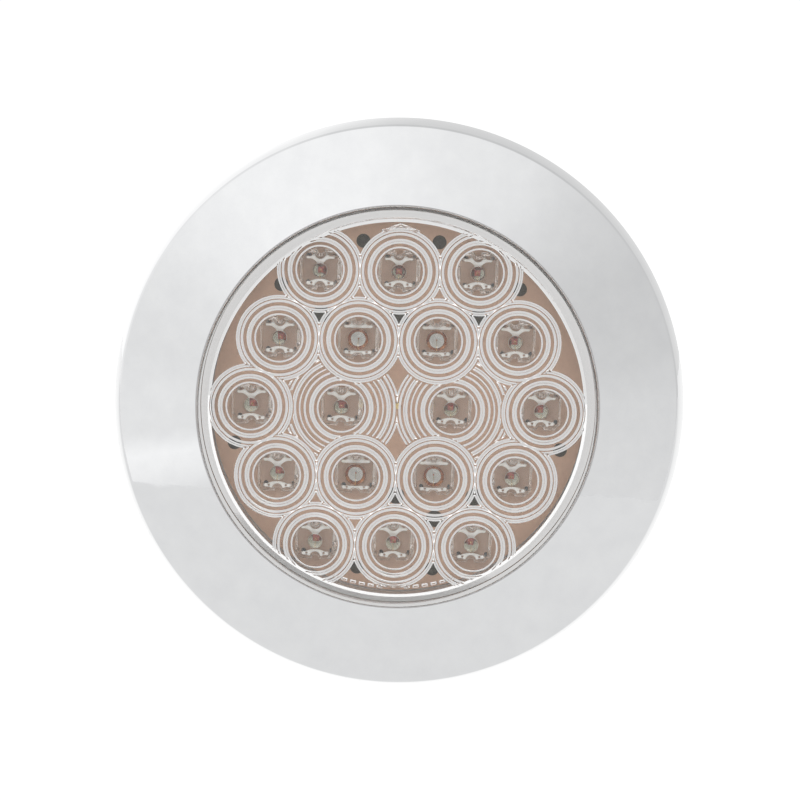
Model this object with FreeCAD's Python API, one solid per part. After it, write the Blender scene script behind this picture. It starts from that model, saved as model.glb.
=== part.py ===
"""Round LED trailer tail light, 4 inch lens on a three-screw flange, with a twist-off chrome trim bezel.

Everything is drawn on the bench, face up: x to the right, y up and z towards whoever looks at the lens,
with z = 0 on the panel that the light is screwed to. save() then stands it up in the part's own frame,
where the lens faces -Y, +Z is up and the origin is the centre of the panel plane. All sizes are in mm.
"""

import FreeCAD, Part
import math
import os

# Driving dimensions
BEZEL_OD = 149.5
BEZEL_SHOULDER_Z = 9.4
BEZEL_LIP_Z = 14.6
BEZEL_WALL = 1.8
LENS_RADIUS = 50.7
LENS_FRONT_Z = 19.6
LED_PITCH = 20.2
SCREW_CIRCLE = 127.0
GASKET_THICK = 2.0
FLANGE_THICK = 3.0
BARREL_RADIUS = 49.6
BARREL_DEPTH = 13.0
TWIST_LUGS = 3
# How far a feature reaches into the one that it is fused to
JOIN = 0.5
# Radial gaps around the lens and between the twist lock's parts
BEZEL_GAP = 0.5
COLLAR_GAP = 0.3
BOARD_GAP = 0.2
HOOK_FOOT_GAP = 0.6
HOOK_WALL_GAP = 0.4

# Levels, from the panel outwards
FLANGE_BACK_Z = GASKET_THICK
FLANGE_FRONT_Z = FLANGE_BACK_Z + FLANGE_THICK
BOARD_THICK = 1.6
LEDGE_Z = 4.4
BOARD_FRONT_Z = LEDGE_Z + BOARD_THICK
FLOOR_THICK = 2.4
FLOOR_Z = FLOOR_THICK - BARREL_DEPTH

# Radii
BEZEL_RADIUS = BEZEL_OD / 2
BEZEL_DRAFT = 2.5
BEZEL_BACK_Z = 0.6
BEZEL_SHOULDER_ROUND = 1.2
BEZEL_LIP_ROUND = 0.4
BEZEL_OPENING = LENS_RADIUS + BEZEL_GAP
BEZEL_LIP_WIDTH = 0.6
FLANGE_RADIUS = 68.0
GASKET_RADIUS = 67.5
HOUSING_ROUND = 1.0
LENS_WALL = 2.5
LENS_BORE = LENS_RADIUS - LENS_WALL
COLLAR_BORE = LENS_RADIUS + COLLAR_GAP
COLLAR_RADIUS = 53.6
BARREL_WALL = 2.6
BARREL_BORE = BARREL_RADIUS - BARREL_WALL
BOARD_RADIUS = LENS_BORE - BOARD_GAP
GASKET_BORE = 52.6

# The twist lock: hooks under the bezel turn in behind lugs on the housing's collar
LUG_RADIUS = 56.6
LUG_BACK_Z = 9.0
LUG_FRONT_Z = 11.0
LUG_HALF_ANGLE = 12.0
STOP_HALF_ANGLE = 1.6
RIDGE_HEIGHT = 0.3
RIDGE_HALF_ANGLE = 0.5
RIDGE_PAST_HOOK = 2.0
HOOK_HALF_ANGLE = 8.0
HOOK_BACK_Z = 6.4
HOOK_FRONT_Z = 8.6
HOOK_FOOT_BORE = COLLAR_RADIUS + HOOK_FOOT_GAP
HOOK_WALL_BORE = LUG_RADIUS + HOOK_WALL_GAP
HOOK_WALL_RADIUS = 58.8
COLLAR_TOP_Z = 11.8

# Screws: pan heads, a smooth neck through the flange and gasket, and a self-tapping end behind the panel
SCREW_HOLE_RADIUS = 2.7
SCREW_NECK_RADIUS = 2.3
SCREW_STUD_RADIUS = 2.1
SCREW_STUD_LENGTH = 12.0
SCREW_POINT = 3.0
SCREW_HEAD_RADIUS = 3.9
SCREW_HEAD_HEIGHT = 2.5
SCREW_HEAD_ROUND = 1.2
CROSS_LENGTH = 4.4
CROSS_WIDTH = 0.9
CROSS_DEPTH = 1.3
FIRST_SCREW_ANGLE = 30.0

# The plug socket in the back, and its three pins
SOCKET_WIDTH = 34.0
SOCKET_HEIGHT = 14.0
SOCKET_DEPTH = 9.4
SOCKET_WALL = 2.0
SOCKET_CORNER = 1.5
SOCKET_FLOOR_Z = SOCKET_DEPTH - BARREL_DEPTH
SOCKET_TOP_Z = SOCKET_FLOOR_Z + SOCKET_WALL
PIN_RADIUS = 2.0
PIN_HEAD_RADIUS = 2.6
PIN_HEAD_THICK = 1.2
PIN_TAIL_RADIUS = 0.8
PIN_SPACING = 10.0
PIN_RECESS = 1.0
PIN_NOSE = 0.6
PIN_STICKOUT = 0.4
PIN_HOLE_CLEARANCE = 0.1
PIN_PLACES = {"pin_ground": -PIN_SPACING, "pin_tail": 0.0, "pin_stop": PIN_SPACING}

# Lens optics: one bull's-eye in front of each light-emitting diode
LENS_FRONT_THICK = 2.6
LENS_CHAMFER_HEIGHT = 0.5
LENS_CHAMFER_WIDTH = 0.3
LENS_ROUND = 0.15
OPTIC_DOME_RADIUS = 6.0
OPTIC_DOME_SAG = 1.1
OPTIC_RINGS = ((7.2, 8.1, 1.1), (8.6, 9.4, 1.1), (9.7, 10.05, 0.8))
NARROW_OPTIC_RINGS = ((6.6, 7.6, 1.1),)

# One LED package, about its own centre, standing on the board
PACKAGE_SIDE = 7.6
PACKAGE_HEIGHT = 3.0
PACKAGE_STANDOFF = 0.8
PACKAGE_NOTCH = 0.7
PACKAGE_CORNER_CUT = 1.2
DOME_RADIUS = 1.5
WIDE_DOME_RADIUS = 2.2
FRAME_THICK = 0.4
FRAME_Z = PACKAGE_STANDOFF + 1.8
NECK_HALF_WIDTH = 0.46
NECK_END_Y = 0.9
EYE_RADIUS = 0.22
EYE_X = 1.75
EYE_Y = -2.55
CUP_RADIUS = 1.15
CUP_MOUTH = 0.85
CUP_FLOOR = 0.5
CUP_DEPTH = 0.6
CUP_BASE = 0.25
DIE_SIDE = 0.36
DIE_HEIGHT = 0.2
WIRE_RADIUS = 0.02
WIRE_REACH = 0.85
LEAD_WIDTH = 0.5
LEAD_OFFSET = 2.54
LEAD_STICKOUT = 1.0
LEAD_HOLE_RADIUS = 0.45

# Potting and the small parts on the back of the board
FLOW_HOLE_RADIUS = 1.8
FLOW_HOLE_CIRCLE = 43.4
FLOW_HOLE_ANGLES = (45, 77, 103, 135, 194, 257, 283, 346)
INNER_FLOW_HOLE_RADIUS = 2.2
# Inner flow holes lie where three optics meet: pitches to the right of the middle, and rows above it
INNER_FLOW_HOLES = ((-1, 4 / 3), (0, 4 / 3), (1, 4 / 3), (0, -4 / 3), (1, -4 / 3), (0.5, -5 / 3))
POTTING_WELL = 0.5
RESISTOR_SIZE = (3.2, 1.6, 0.6)
DIODE_SIZE = (4.4, 2.6, 2.1)
DIODE_PLACES = ((-PIN_SPACING, 7.6), (PIN_SPACING, 7.6), (0.0, -7.6))

ROW_RISE = LED_PITCH * math.sqrt(3) / 2
# Rows from the top down: how many rows above the middle, and where along the row in pitches
LED_ROWS = (
    (2, (-1.0, 0.0, 1.0)),
    (1, (-1.5, -0.5, 0.5, 1.5)),
    (0, (-1.85, -0.7, 0.7, 1.85)),
    (-1, (-1.5, -0.5, 0.5, 1.5)),
    (-2, (-1.0, 0.0, 1.0)),
)
Z_AXIS = FreeCAD.Vector(0, 0, 1)


def led_places():
    """The centre of each LED on the board, from the top left, with its row and its place in pitches."""
    return [(row, step, step * LED_PITCH, row * ROW_RISE) for row, steps in LED_ROWS for step in steps]


def spots(count, radius, first_angle):
    """Evenly spaced points on a circle."""
    angles = [math.radians(first_angle + 360.0 * i / count) for i in range(count)]
    return [(radius * math.cos(a), radius * math.sin(a)) for a in angles]


def cylinder(radius, z0, z1, x=0.0, y=0.0):
    return Part.makeCylinder(radius, z1 - z0, FreeCAD.Vector(x, y, z0))


def box(width, height, z0, z1, x=0.0, y=0.0):
    """A block centred on x and y."""
    return Part.makeBox(width, height, z1 - z0, FreeCAD.Vector(x - width / 2, y - height / 2, z0))


def revolved(outline, start=0.0, sweep=360.0):
    """A ring with this outline of (radius, z) points, or a stretch of one from a start angle."""
    points = [FreeCAD.Vector(r, 0, z) for r, z in outline]
    face = Part.Face(Part.makePolygon(points + points[:1]))
    solid = face.revolve(FreeCAD.Vector(), Z_AXIS, sweep)
    solid.rotate(FreeCAD.Vector(), Z_AXIS, start)
    return solid


def sector(inner, outer, z0, z1, middle_angle, half_angle):
    outline = [(inner, z0), (outer, z0), (outer, z1), (inner, z1)]
    return revolved(outline, middle_angle - half_angle, 2 * half_angle)


def rounded(solid, radius, rims):
    """Rounds the circular edges that lie at these (radius, z) places."""
    chosen = []
    for edge in solid.Edges:
        if not isinstance(edge.Curve, Part.Circle):
            continue
        for r, z in rims:
            if abs(edge.Curve.Radius - r) < 0.01 and abs(edge.Curve.Center.z - z) < 0.01:
                chosen.append(edge)
    return solid.makeFillet(radius, chosen)


def arc(start, middle, end):
    points = [FreeCAD.Vector(x, y, 0) for x, y in (start, middle, end)]
    return Part.Arc(*points).toShape()


def plate(edges, z, thick):
    """A flat plate with this closed outline."""
    face = Part.Face(Part.Wire(Part.sortEdges(edges)[0]))
    solid = face.extrude(FreeCAD.Vector(0, 0, thick))
    solid.translate(FreeCAD.Vector(0, 0, z))
    return solid


def lines(*points):
    ends = [FreeCAD.Vector(x, y, 0) for x, y in points]
    return [Part.makeLine(a, b) for a, b in zip(ends, ends[1:])]


def mirrored_edges(edges):
    """The edges, and their mirror images left of the centre line."""
    return edges + [e.mirror(FreeCAD.Vector(), FreeCAD.Vector(1, 0, 0)) for e in edges]


def lug_angles():
    return [90.0 + 360.0 * i / TWIST_LUGS for i in range(TWIST_LUGS)]


def screw_spots():
    return spots(TWIST_LUGS, SCREW_CIRCLE / 2, FIRST_SCREW_ANGLE)


def make_gasket():
    ring = cylinder(GASKET_RADIUS, 0, GASKET_THICK).cut(cylinder(GASKET_BORE, 0, GASKET_THICK))
    holes = [cylinder(SCREW_HOLE_RADIUS, 0, GASKET_THICK, x, y) for x, y in screw_spots()]
    return ring.cut(holes)


def socket_block(wall, z0, z1):
    """The plug socket's outline with this much wall around it, as a block with rounded corners."""
    block = box(SOCKET_WIDTH + 2 * wall, SOCKET_HEIGHT + 2 * wall, z0, z1)
    upright = [e for e in block.Edges if abs(e.tangentAt(e.FirstParameter).z) > 0.99]
    return block.makeFillet(SOCKET_CORNER + wall, upright)


def twist_lug(angle):
    """A lug on the collar, its end stop on the clockwise side and the ridge that the hook clicks past."""
    root = COLLAR_RADIUS - JOIN
    lug = sector(root, LUG_RADIUS, LUG_BACK_Z, LUG_FRONT_Z, angle, LUG_HALF_ANGLE)
    stop_angle = angle - LUG_HALF_ANGLE + STOP_HALF_ANGLE
    stop = sector(root, LUG_RADIUS, FLANGE_FRONT_Z - JOIN, LUG_BACK_Z, stop_angle, STOP_HALF_ANGLE)
    ridge_angle = angle + HOOK_HALF_ANGLE + RIDGE_PAST_HOOK
    ridge = sector(root, LUG_RADIUS, LUG_BACK_Z - RIDGE_HEIGHT, LUG_BACK_Z, ridge_angle, RIDGE_HALF_ANGLE)
    return lug.fuse([stop, ridge])


def make_base_housing():
    """The dark moulding: a cup for the board, the screw flange, the collar with its lugs, and the socket."""
    cup = revolved([
        (0, -BARREL_DEPTH),
        (BARREL_RADIUS, -BARREL_DEPTH),
        (BARREL_RADIUS, FLANGE_BACK_Z),
        (FLANGE_RADIUS, FLANGE_BACK_Z),
        (FLANGE_RADIUS, FLANGE_FRONT_Z),
        (COLLAR_RADIUS, FLANGE_FRONT_Z),
        (COLLAR_RADIUS, COLLAR_TOP_Z),
        (COLLAR_BORE, COLLAR_TOP_Z),
        (COLLAR_BORE, LEDGE_Z),
        (BARREL_BORE, LEDGE_Z),
        (BARREL_BORE, FLOOR_Z),
        (0, FLOOR_Z),
    ])
    cup = rounded(cup, HOUSING_ROUND, [(BARREL_RADIUS, -BARREL_DEPTH), (FLANGE_RADIUS, FLANGE_FRONT_Z)])
    lugs = [twist_lug(angle) for angle in lug_angles()]
    socket = socket_block(SOCKET_WALL, FLOOR_Z - JOIN, SOCKET_TOP_Z)
    cavity = socket_block(0, -BARREL_DEPTH, SOCKET_FLOOR_Z)
    holes = [cylinder(SCREW_HOLE_RADIUS, FLANGE_BACK_Z, FLANGE_FRONT_Z, x, y) for x, y in screw_spots()]
    pins = [make_pin(x) for x in PIN_PLACES.values()]
    return cup.fuse(lugs + [socket]).cut([cavity] + holes + pins)


def make_pin(x):
    """A contact pin: a blunt nose in the socket, a head in the socket's floor, and a tail to the board."""
    nose_z = PIN_RECESS - BARREL_DEPTH
    head_z = SOCKET_FLOOR_Z + PIN_HEAD_THICK
    tail_z = BOARD_FRONT_Z + PIN_STICKOUT
    pin = revolved([
        (0, nose_z),
        (PIN_RADIUS - PIN_NOSE, nose_z),
        (PIN_RADIUS, nose_z + PIN_NOSE),
        (PIN_RADIUS, SOCKET_FLOOR_Z),
        (PIN_HEAD_RADIUS, SOCKET_FLOOR_Z),
        (PIN_HEAD_RADIUS, head_z),
        (PIN_TAIL_RADIUS, head_z),
        (PIN_TAIL_RADIUS, tail_z),
        (0, tail_z),
    ])
    pin.translate(FreeCAD.Vector(x, 0, 0))
    return pin


def bezel_face_z(radius):
    """The height of the bezel's conical face at a radius."""
    lip = BEZEL_OPENING + BEZEL_LIP_WIDTH
    shoulder = BEZEL_RADIUS - BEZEL_DRAFT
    share = (radius - lip) / (shoulder - lip)
    return BEZEL_LIP_Z + share * (BEZEL_SHOULDER_Z - BEZEL_LIP_Z)


def twist_hook(angle):
    """A hook under the bezel: a wall outside the lug, and a foot that lies behind it."""
    wall_top = bezel_face_z(HOOK_WALL_RADIUS) - BEZEL_WALL / 2
    wall = sector(HOOK_WALL_BORE, HOOK_WALL_RADIUS, HOOK_BACK_Z, wall_top, angle, HOOK_HALF_ANGLE)
    foot = sector(HOOK_FOOT_BORE, HOOK_WALL_BORE + JOIN, HOOK_BACK_Z, HOOK_FRONT_Z, angle, HOOK_HALF_ANGLE)
    return wall.fuse(foot)


def make_chrome_bezel():
    """The trim ring: a drafted skirt, a sloping face and a rolled lip around the lens."""
    lip_radius = BEZEL_OPENING + BEZEL_LIP_WIDTH
    shoulder_radius = BEZEL_RADIUS - BEZEL_DRAFT
    return_z = BEZEL_LIP_Z - BEZEL_WALL - JOIN
    inner_shoulder = shoulder_radius - BEZEL_WALL
    inner_lip = BEZEL_OPENING + BEZEL_WALL
    ring = revolved([
        (BEZEL_RADIUS, BEZEL_BACK_Z),
        (shoulder_radius, BEZEL_SHOULDER_Z),
        (lip_radius, BEZEL_LIP_Z),
        (BEZEL_OPENING, BEZEL_LIP_Z),
        (BEZEL_OPENING, return_z),
        (inner_lip, return_z),
        (inner_lip, bezel_face_z(inner_lip) - BEZEL_WALL),
        (inner_shoulder, bezel_face_z(inner_shoulder) - BEZEL_WALL),
        (BEZEL_RADIUS - BEZEL_WALL, BEZEL_BACK_Z),
    ])
    ring = rounded(ring, BEZEL_SHOULDER_ROUND, [(shoulder_radius, BEZEL_SHOULDER_Z)])
    ring = rounded(ring, BEZEL_LIP_ROUND, [(BEZEL_OPENING, BEZEL_LIP_Z)])
    return ring.fuse([twist_hook(angle) for angle in lug_angles()])


def make_panel_screws():
    head_top = FLANGE_FRONT_Z + SCREW_HEAD_HEIGHT
    cross_z = head_top - CROSS_DEPTH
    screws = []
    for x, y in screw_spots():
        screw = revolved([
            (0, -SCREW_STUD_LENGTH - SCREW_POINT),
            (SCREW_STUD_RADIUS, -SCREW_STUD_LENGTH),
            (SCREW_STUD_RADIUS, 0),
            (SCREW_NECK_RADIUS, 0),
            (SCREW_NECK_RADIUS, FLANGE_FRONT_Z),
            (SCREW_HEAD_RADIUS, FLANGE_FRONT_Z),
            (SCREW_HEAD_RADIUS, head_top),
            (0, head_top),
        ])
        screw = rounded(screw, SCREW_HEAD_ROUND, [(SCREW_HEAD_RADIUS, head_top)])
        slots = [box(width, height, cross_z, head_top)
                 for width, height in ((CROSS_LENGTH, CROSS_WIDTH), (CROSS_WIDTH, CROSS_LENGTH))]
        screw = screw.cut(slots)
        screw.translate(FreeCAD.Vector(x, y, 0))
        screws.append(screw)
    return screws


def optic(rings, inner_z):
    """A bull's-eye on the back of the lens front: a shallow dome and stepped rings around it."""
    root_z = inner_z + JOIN
    curve_radius = (OPTIC_DOME_RADIUS ** 2 + OPTIC_DOME_SAG ** 2) / (2 * OPTIC_DOME_SAG)
    ball = Part.makeSphere(curve_radius, FreeCAD.Vector(0, 0, inner_z - OPTIC_DOME_SAG + curve_radius))
    dome = ball.common(cylinder(OPTIC_DOME_RADIUS, inner_z - 2 * OPTIC_DOME_SAG, root_z))
    steps = [revolved([(inner, root_z), (outer, root_z), (outer, inner_z - drop), (inner, inner_z)])
             for inner, outer, drop in rings]
    return dome.fuse(steps)


def make_lens():
    """The clear cup: a flat front with a narrow chamfer, a wall down into the collar, and the optics inside."""
    inner_z = LENS_FRONT_Z - LENS_FRONT_THICK
    chamfer_z = LENS_FRONT_Z - LENS_CHAMFER_HEIGHT
    shell = revolved([
        (0, LENS_FRONT_Z),
        (LENS_RADIUS - LENS_CHAMFER_WIDTH, LENS_FRONT_Z),
        (LENS_RADIUS, chamfer_z),
        (LENS_RADIUS, LEDGE_Z),
        (LENS_BORE, LEDGE_Z),
        (LENS_BORE, inner_z),
        (0, inner_z),
    ])
    rims = [(LENS_RADIUS - LENS_CHAMFER_WIDTH, LENS_FRONT_Z), (LENS_RADIUS, chamfer_z)]
    shell = rounded(shell, LENS_ROUND, rims)
    narrow = optic(NARROW_OPTIC_RINGS, inner_z)
    full = optic(OPTIC_RINGS, inner_z)
    optics = []
    for row, step, x, y in led_places():
        one = (narrow if row == 0 and abs(step) < 1 else full).copy()
        one.translate(FreeCAD.Vector(x, y, 0))
        optics.append(one)
    inside = cylinder(LENS_BORE + JOIN, 0, inner_z + JOIN)
    return shell.fuse([one.common(inside) for one in optics])


def cathode_outline():
    """The leadframe's upper half, right of its centre line: the cup's neck, an arm and a raised tip."""
    return [
        arc((NECK_HALF_WIDTH, NECK_END_Y), (1.0, 1.85), (2.5, 2.25)),
        *lines((2.5, 2.25), (2.8, 2.35), (2.8, 2.75), (1.75, 2.8), (1.4, 3.15), (1.1, 3.15)),
        arc((1.1, 3.15), (0.65, 2.5), (0.0, 2.3)),
    ]


def anode_outline():
    """The leadframe's lower half, right of its centre line: a bow with an arch cut out below."""
    return [
        arc((0.0, -1.7), (1.1, -1.85), (2.1, -2.25)),
        arc((2.1, -2.25), (2.75, -2.65), (2.2, -2.95)),
        *lines((2.2, -2.95), (1.7, -2.95), (1.35, -3.15), (1.05, -3.15)),
        arc((1.05, -3.15), (0.7, -2.5), (0.0, -2.25)),
    ]


def make_led_frame():
    """The two halves of the stamped leadframe, with legs through the board. The upper one holds the cup."""
    leg_z = -BOARD_THICK - LEAD_STICKOUT
    cup_top = FRAME_Z + FRAME_THICK
    neck_end = lines((0, NECK_END_Y), (NECK_HALF_WIDTH, NECK_END_Y))
    cathode = plate(mirrored_edges(cathode_outline() + neck_end), FRAME_Z, FRAME_THICK)
    cathode = cathode.fuse(cylinder(CUP_RADIUS, cup_top - CUP_DEPTH - CUP_BASE, cup_top))
    bowl = Part.makeCone(CUP_FLOOR, CUP_MOUTH, CUP_DEPTH, FreeCAD.Vector(0, 0, cup_top - CUP_DEPTH))
    cathode = cathode.cut(bowl)
    anode = plate(mirrored_edges(anode_outline()), FRAME_Z, FRAME_THICK)
    eyes = [cylinder(EYE_RADIUS, FRAME_Z, cup_top, x, EYE_Y) for x in (-EYE_X, EYE_X)]
    anode = anode.cut(eyes)
    halves = []
    for half, y in ((cathode, LEAD_OFFSET), (anode, -LEAD_OFFSET)):
        legs = [box(LEAD_WIDTH, FRAME_THICK, leg_z, cup_top, x, y) for x in (-LEAD_OFFSET, LEAD_OFFSET)]
        halves.append(half.fuse(legs))
    return halves


def make_led_die():
    floor_z = FRAME_Z + FRAME_THICK - CUP_DEPTH
    return box(DIE_SIDE, DIE_SIDE, floor_z, floor_z + DIE_HEIGHT)


def make_bond_wire():
    """A fine loop of wire from the top of the die over the cup's rim to the anode's arch."""
    die_top = FRAME_Z + FRAME_THICK - CUP_DEPTH + DIE_HEIGHT
    frame_top = FRAME_Z + FRAME_THICK
    bow = Part.makeTorus(WIRE_REACH, WIRE_RADIUS, FreeCAD.Vector(0, -WIRE_REACH, frame_top),
                         FreeCAD.Vector(1, 0, 0), 0, 360, 360)
    half = box(1, 4 * WIRE_REACH, frame_top, frame_top + 2 * WIRE_REACH, 0, -WIRE_REACH)
    drop = cylinder(WIRE_RADIUS, die_top, frame_top)
    return bow.common(half).fuse(drop)


def make_led_body(dome_radius, inner_parts):
    """The clear epoxy package: a square block with a nick in two sides, a cut corner and a dome on top."""
    half = PACKAGE_SIDE / 2
    top = PACKAGE_STANDOFF + PACKAGE_HEIGHT
    body = box(PACKAGE_SIDE, PACKAGE_SIDE, PACKAGE_STANDOFF, top)
    nicks = [cylinder(PACKAGE_NOTCH, PACKAGE_STANDOFF, top, 0, y) for y in (-half, half)]
    cut = half - PACKAGE_CORNER_CUT
    corner = plate(lines((cut, -half), (half, -half), (half, -cut), (cut, -half)), PACKAGE_STANDOFF,
                   PACKAGE_HEIGHT)
    dome = Part.makeSphere(dome_radius, FreeCAD.Vector(0, 0, top))
    above = cylinder(2 * dome_radius, top - JOIN, top + dome_radius)
    return body.cut(nicks + [corner]).fuse(dome.common(above)).cut(inner_parts)


def make_resistors():
    """Flat chip resistors on the back of the board, between neighbouring LEDs."""
    width, height, thick = RESISTOR_SIZE
    places = [(step * LED_PITCH, row * ROW_RISE) for row in (1, -1) for step in (-1, 0, 1)]
    places += [(step * LED_PITCH, row * ROW_RISE) for row in (2, -2) for step in (-0.5, 0.5)]
    return [box(width, height, LEDGE_Z - thick, LEDGE_Z, x, y) for x, y in places]


def make_diodes():
    width, height, thick = DIODE_SIZE
    return [box(width, height, LEDGE_Z - thick, LEDGE_Z, x, y) for x, y in DIODE_PLACES]


def flow_plugs(z0, z1):
    """A cylinder at each hole that the potting wells up through."""
    angles = [math.radians(a) for a in FLOW_HOLE_ANGLES]
    plugs = [cylinder(FLOW_HOLE_RADIUS, z0, z1, FLOW_HOLE_CIRCLE * math.cos(angle),
                      FLOW_HOLE_CIRCLE * math.sin(angle)) for angle in angles]
    plugs += [cylinder(INNER_FLOW_HOLE_RADIUS, z0, z1, step * LED_PITCH, row * ROW_RISE)
              for step, row in INNER_FLOW_HOLES]
    return plugs


def make_circuit_board():
    """The round board, drilled for the LED legs, the pins' tails and the potting to well up through."""
    board = cylinder(BOARD_RADIUS, LEDGE_Z, BOARD_FRONT_Z)
    holes = flow_plugs(LEDGE_Z, BOARD_FRONT_Z)
    pin_hole = PIN_TAIL_RADIUS + PIN_HOLE_CLEARANCE
    holes += [cylinder(pin_hole, LEDGE_Z, BOARD_FRONT_Z, x) for x in PIN_PLACES.values()]
    for _, _, x, y in led_places():
        for dx in (-LEAD_OFFSET, LEAD_OFFSET):
            for dy in (-LEAD_OFFSET, LEAD_OFFSET):
                holes.append(cylinder(LEAD_HOLE_RADIUS, LEDGE_Z, BOARD_FRONT_Z, x + dx, y + dy))
    return board.cut(holes)


def make_potting(embedded):
    """The black epoxy behind the board, around everything that stands in it."""
    fill = cylinder(BARREL_BORE, FLOOR_Z, LEDGE_Z)
    socket = socket_block(SOCKET_WALL, FLOOR_Z, SOCKET_TOP_Z)
    wells = flow_plugs(LEDGE_Z - JOIN, BOARD_FRONT_Z - POTTING_WELL)
    return fill.cut([socket] + embedded).fuse(wells)


def make_leds():
    """All the LEDs in place: their bodies, frames, dies and bond wires, in the order of led_places()."""
    frame = make_led_frame()
    die = make_led_die()
    wire = make_bond_wire()
    inner_parts = [*frame, die, wire]
    body = make_led_body(DOME_RADIUS, inner_parts)
    wide_body = make_led_body(WIDE_DOME_RADIUS, inner_parts)
    leds = {"bodies": [], "frames": [], "dies": [], "wires": []}
    for row, step, x, y in led_places():
        has_wide_dome = abs(row) == 1 and abs(step) < 1
        place = FreeCAD.Vector(x, y, BOARD_FRONT_Z)
        leds["bodies"].append((wide_body if has_wide_dome else body).translated(place))
        leds["frames"].append([half.translated(place) for half in frame])
        leds["dies"].append(die.translated(place))
        leds["wires"].append(wire.translated(place))
    return leds


def save(name, solids):
    """Stands the solids up, so that the lens faces -Y, and writes them as one named piece."""
    solids = solids if isinstance(solids, list) else [solids]
    flat = [s for shape in solids for s in shape.Solids]
    for solid in flat:
        if not solid.isValid():
            raise RuntimeError(f"{name} has a solid that isn't valid")
    piece = flat[0] if len(flat) == 1 else Part.makeCompound(flat)
    piece = piece.copy()
    piece.rotate(FreeCAD.Vector(), FreeCAD.Vector(1, 0, 0), 90)
    piece.exportStep(f"parts/{name}.step")
    volume = sum(s.Volume for s in flat)
    print(f"{name}: {len(flat)} solids, {volume:.2f} mm3")


def main():
    os.makedirs("parts", exist_ok=True)
    leds = make_leds()
    resistors = make_resistors()
    diodes = make_diodes()
    pins = {name: make_pin(x) for name, x in PIN_PLACES.items()}
    legs = [half for frame in leds["frames"] for half in frame]
    save("gasket", make_gasket())
    save("base_housing", make_base_housing())
    save("chrome_bezel", make_chrome_bezel())
    save("panel_screws", make_panel_screws())
    save("lens", make_lens())
    save("circuit_board", make_circuit_board())
    save("potting", make_potting(legs + resistors + diodes + list(pins.values())))
    save("resistors", resistors)
    save("diodes", diodes)
    for name, pin in pins.items():
        save(name, pin)
    save("led_dies", leds["dies"])
    save("led_bond_wires", leds["wires"])
    for number, (body, frame) in enumerate(zip(leds["bodies"], leds["frames"]), start=1):
        save(f"led_body_{number:02d}", body)
        save(f"led_frame_{number:02d}", frame)


main()
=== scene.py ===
"""The looks of a round LED trailer tail light with a chrome trim bezel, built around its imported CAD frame.

Shapes are drawn on the bench, in millimetres: x to the right, y up and z out of the lens, with z = 0 on the
panel plane. bench() turns such a point into the frame's metres, where the lens faces -Y and +Z is up.
"""

import math

import bmesh
import bpy
import numpy as np
from mathutils import Euler, Matrix, Vector
from mathutils.geometry import delaunay_2d_cdt, tessellate_polygon


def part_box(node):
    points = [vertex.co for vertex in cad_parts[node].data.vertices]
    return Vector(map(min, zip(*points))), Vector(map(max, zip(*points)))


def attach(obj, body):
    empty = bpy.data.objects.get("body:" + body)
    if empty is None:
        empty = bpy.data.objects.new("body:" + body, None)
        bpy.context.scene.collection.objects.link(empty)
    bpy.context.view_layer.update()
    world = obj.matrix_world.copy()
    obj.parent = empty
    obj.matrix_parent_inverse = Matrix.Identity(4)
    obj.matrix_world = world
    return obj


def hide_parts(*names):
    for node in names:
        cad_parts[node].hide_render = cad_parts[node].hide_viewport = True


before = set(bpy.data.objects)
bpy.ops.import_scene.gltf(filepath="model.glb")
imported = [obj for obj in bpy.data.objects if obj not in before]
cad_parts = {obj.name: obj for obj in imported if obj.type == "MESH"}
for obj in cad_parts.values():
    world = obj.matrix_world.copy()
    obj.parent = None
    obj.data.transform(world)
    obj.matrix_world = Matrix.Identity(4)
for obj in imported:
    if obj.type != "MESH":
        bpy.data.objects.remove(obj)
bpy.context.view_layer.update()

MM = 0.001

# ---------------------------------------------------------------- sizes from the frame, in bench mm


def bench_box(name):
    """A CAD node's lowest and highest corner on the bench."""
    low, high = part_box(name)
    return (low.x / MM, low.z / MM, -high.y / MM), (high.x / MM, high.z / MM, -low.y / MM)


def bench(x, y, z):
    """A bench point in the frame."""
    return Vector((x * MM, -z * MM, y * MM))


LENS_LOW, LENS_HIGH = bench_box("lens")
BEZEL_LOW, BEZEL_HIGH = bench_box("chrome_bezel")

LENS_RADIUS = (LENS_HIGH[0] - LENS_LOW[0]) / 2
LENS_FRONT = LENS_HIGH[2]
LENS_BACK = LENS_LOW[2]
BEZEL_RADIUS = (BEZEL_HIGH[0] - BEZEL_LOW[0]) / 2
BEZEL_LIP = BEZEL_HIGH[2]
BEZEL_BACK = BEZEL_LOW[2]
SCREW_TOP = bench_box("panel_screws")[1][2]

LED_COUNT = sum(name.startswith("led_body_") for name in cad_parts)


def led_spots():
    """Each LED's number, its centre on the bench and the height of its dome."""
    spots = []
    for number in range(1, LED_COUNT + 1):
        low, high = bench_box(f"led_body_{number:02d}")
        spots.append((number, (low[0] + high[0]) / 2, (low[1] + high[1]) / 2, high[2]))
    return spots


LEDS = led_spots()
BODY_LOW, BODY_HIGH = bench_box("led_body_01")
LED_SIDE = BODY_HIGH[0] - BODY_LOW[0]
LED_PITCH = LEDS[1][1] - LEDS[0][1]
LED_BASE = BODY_LOW[2]
# The LEDs sit this far to the left and low in their lead holes
LED_SEAT = (-0.36, -0.32)

# ---------------------------------------------------------------- material helpers


def add_node(tree, kind, settings=None, **inputs):
    """A node with some of its properties and inputs set. An input's name is written with _ for a space."""
    made = tree.nodes.new("ShaderNode" + kind)
    for key, value in (settings or {}).items():
        setattr(made, key, value)
    for key, value in inputs.items():
        socket = made.inputs[key.replace("_", " ")]
        if isinstance(value, bpy.types.NodeSocket):
            tree.links.new(value, socket)
        else:
            socket.default_value = value
    return made


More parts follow.
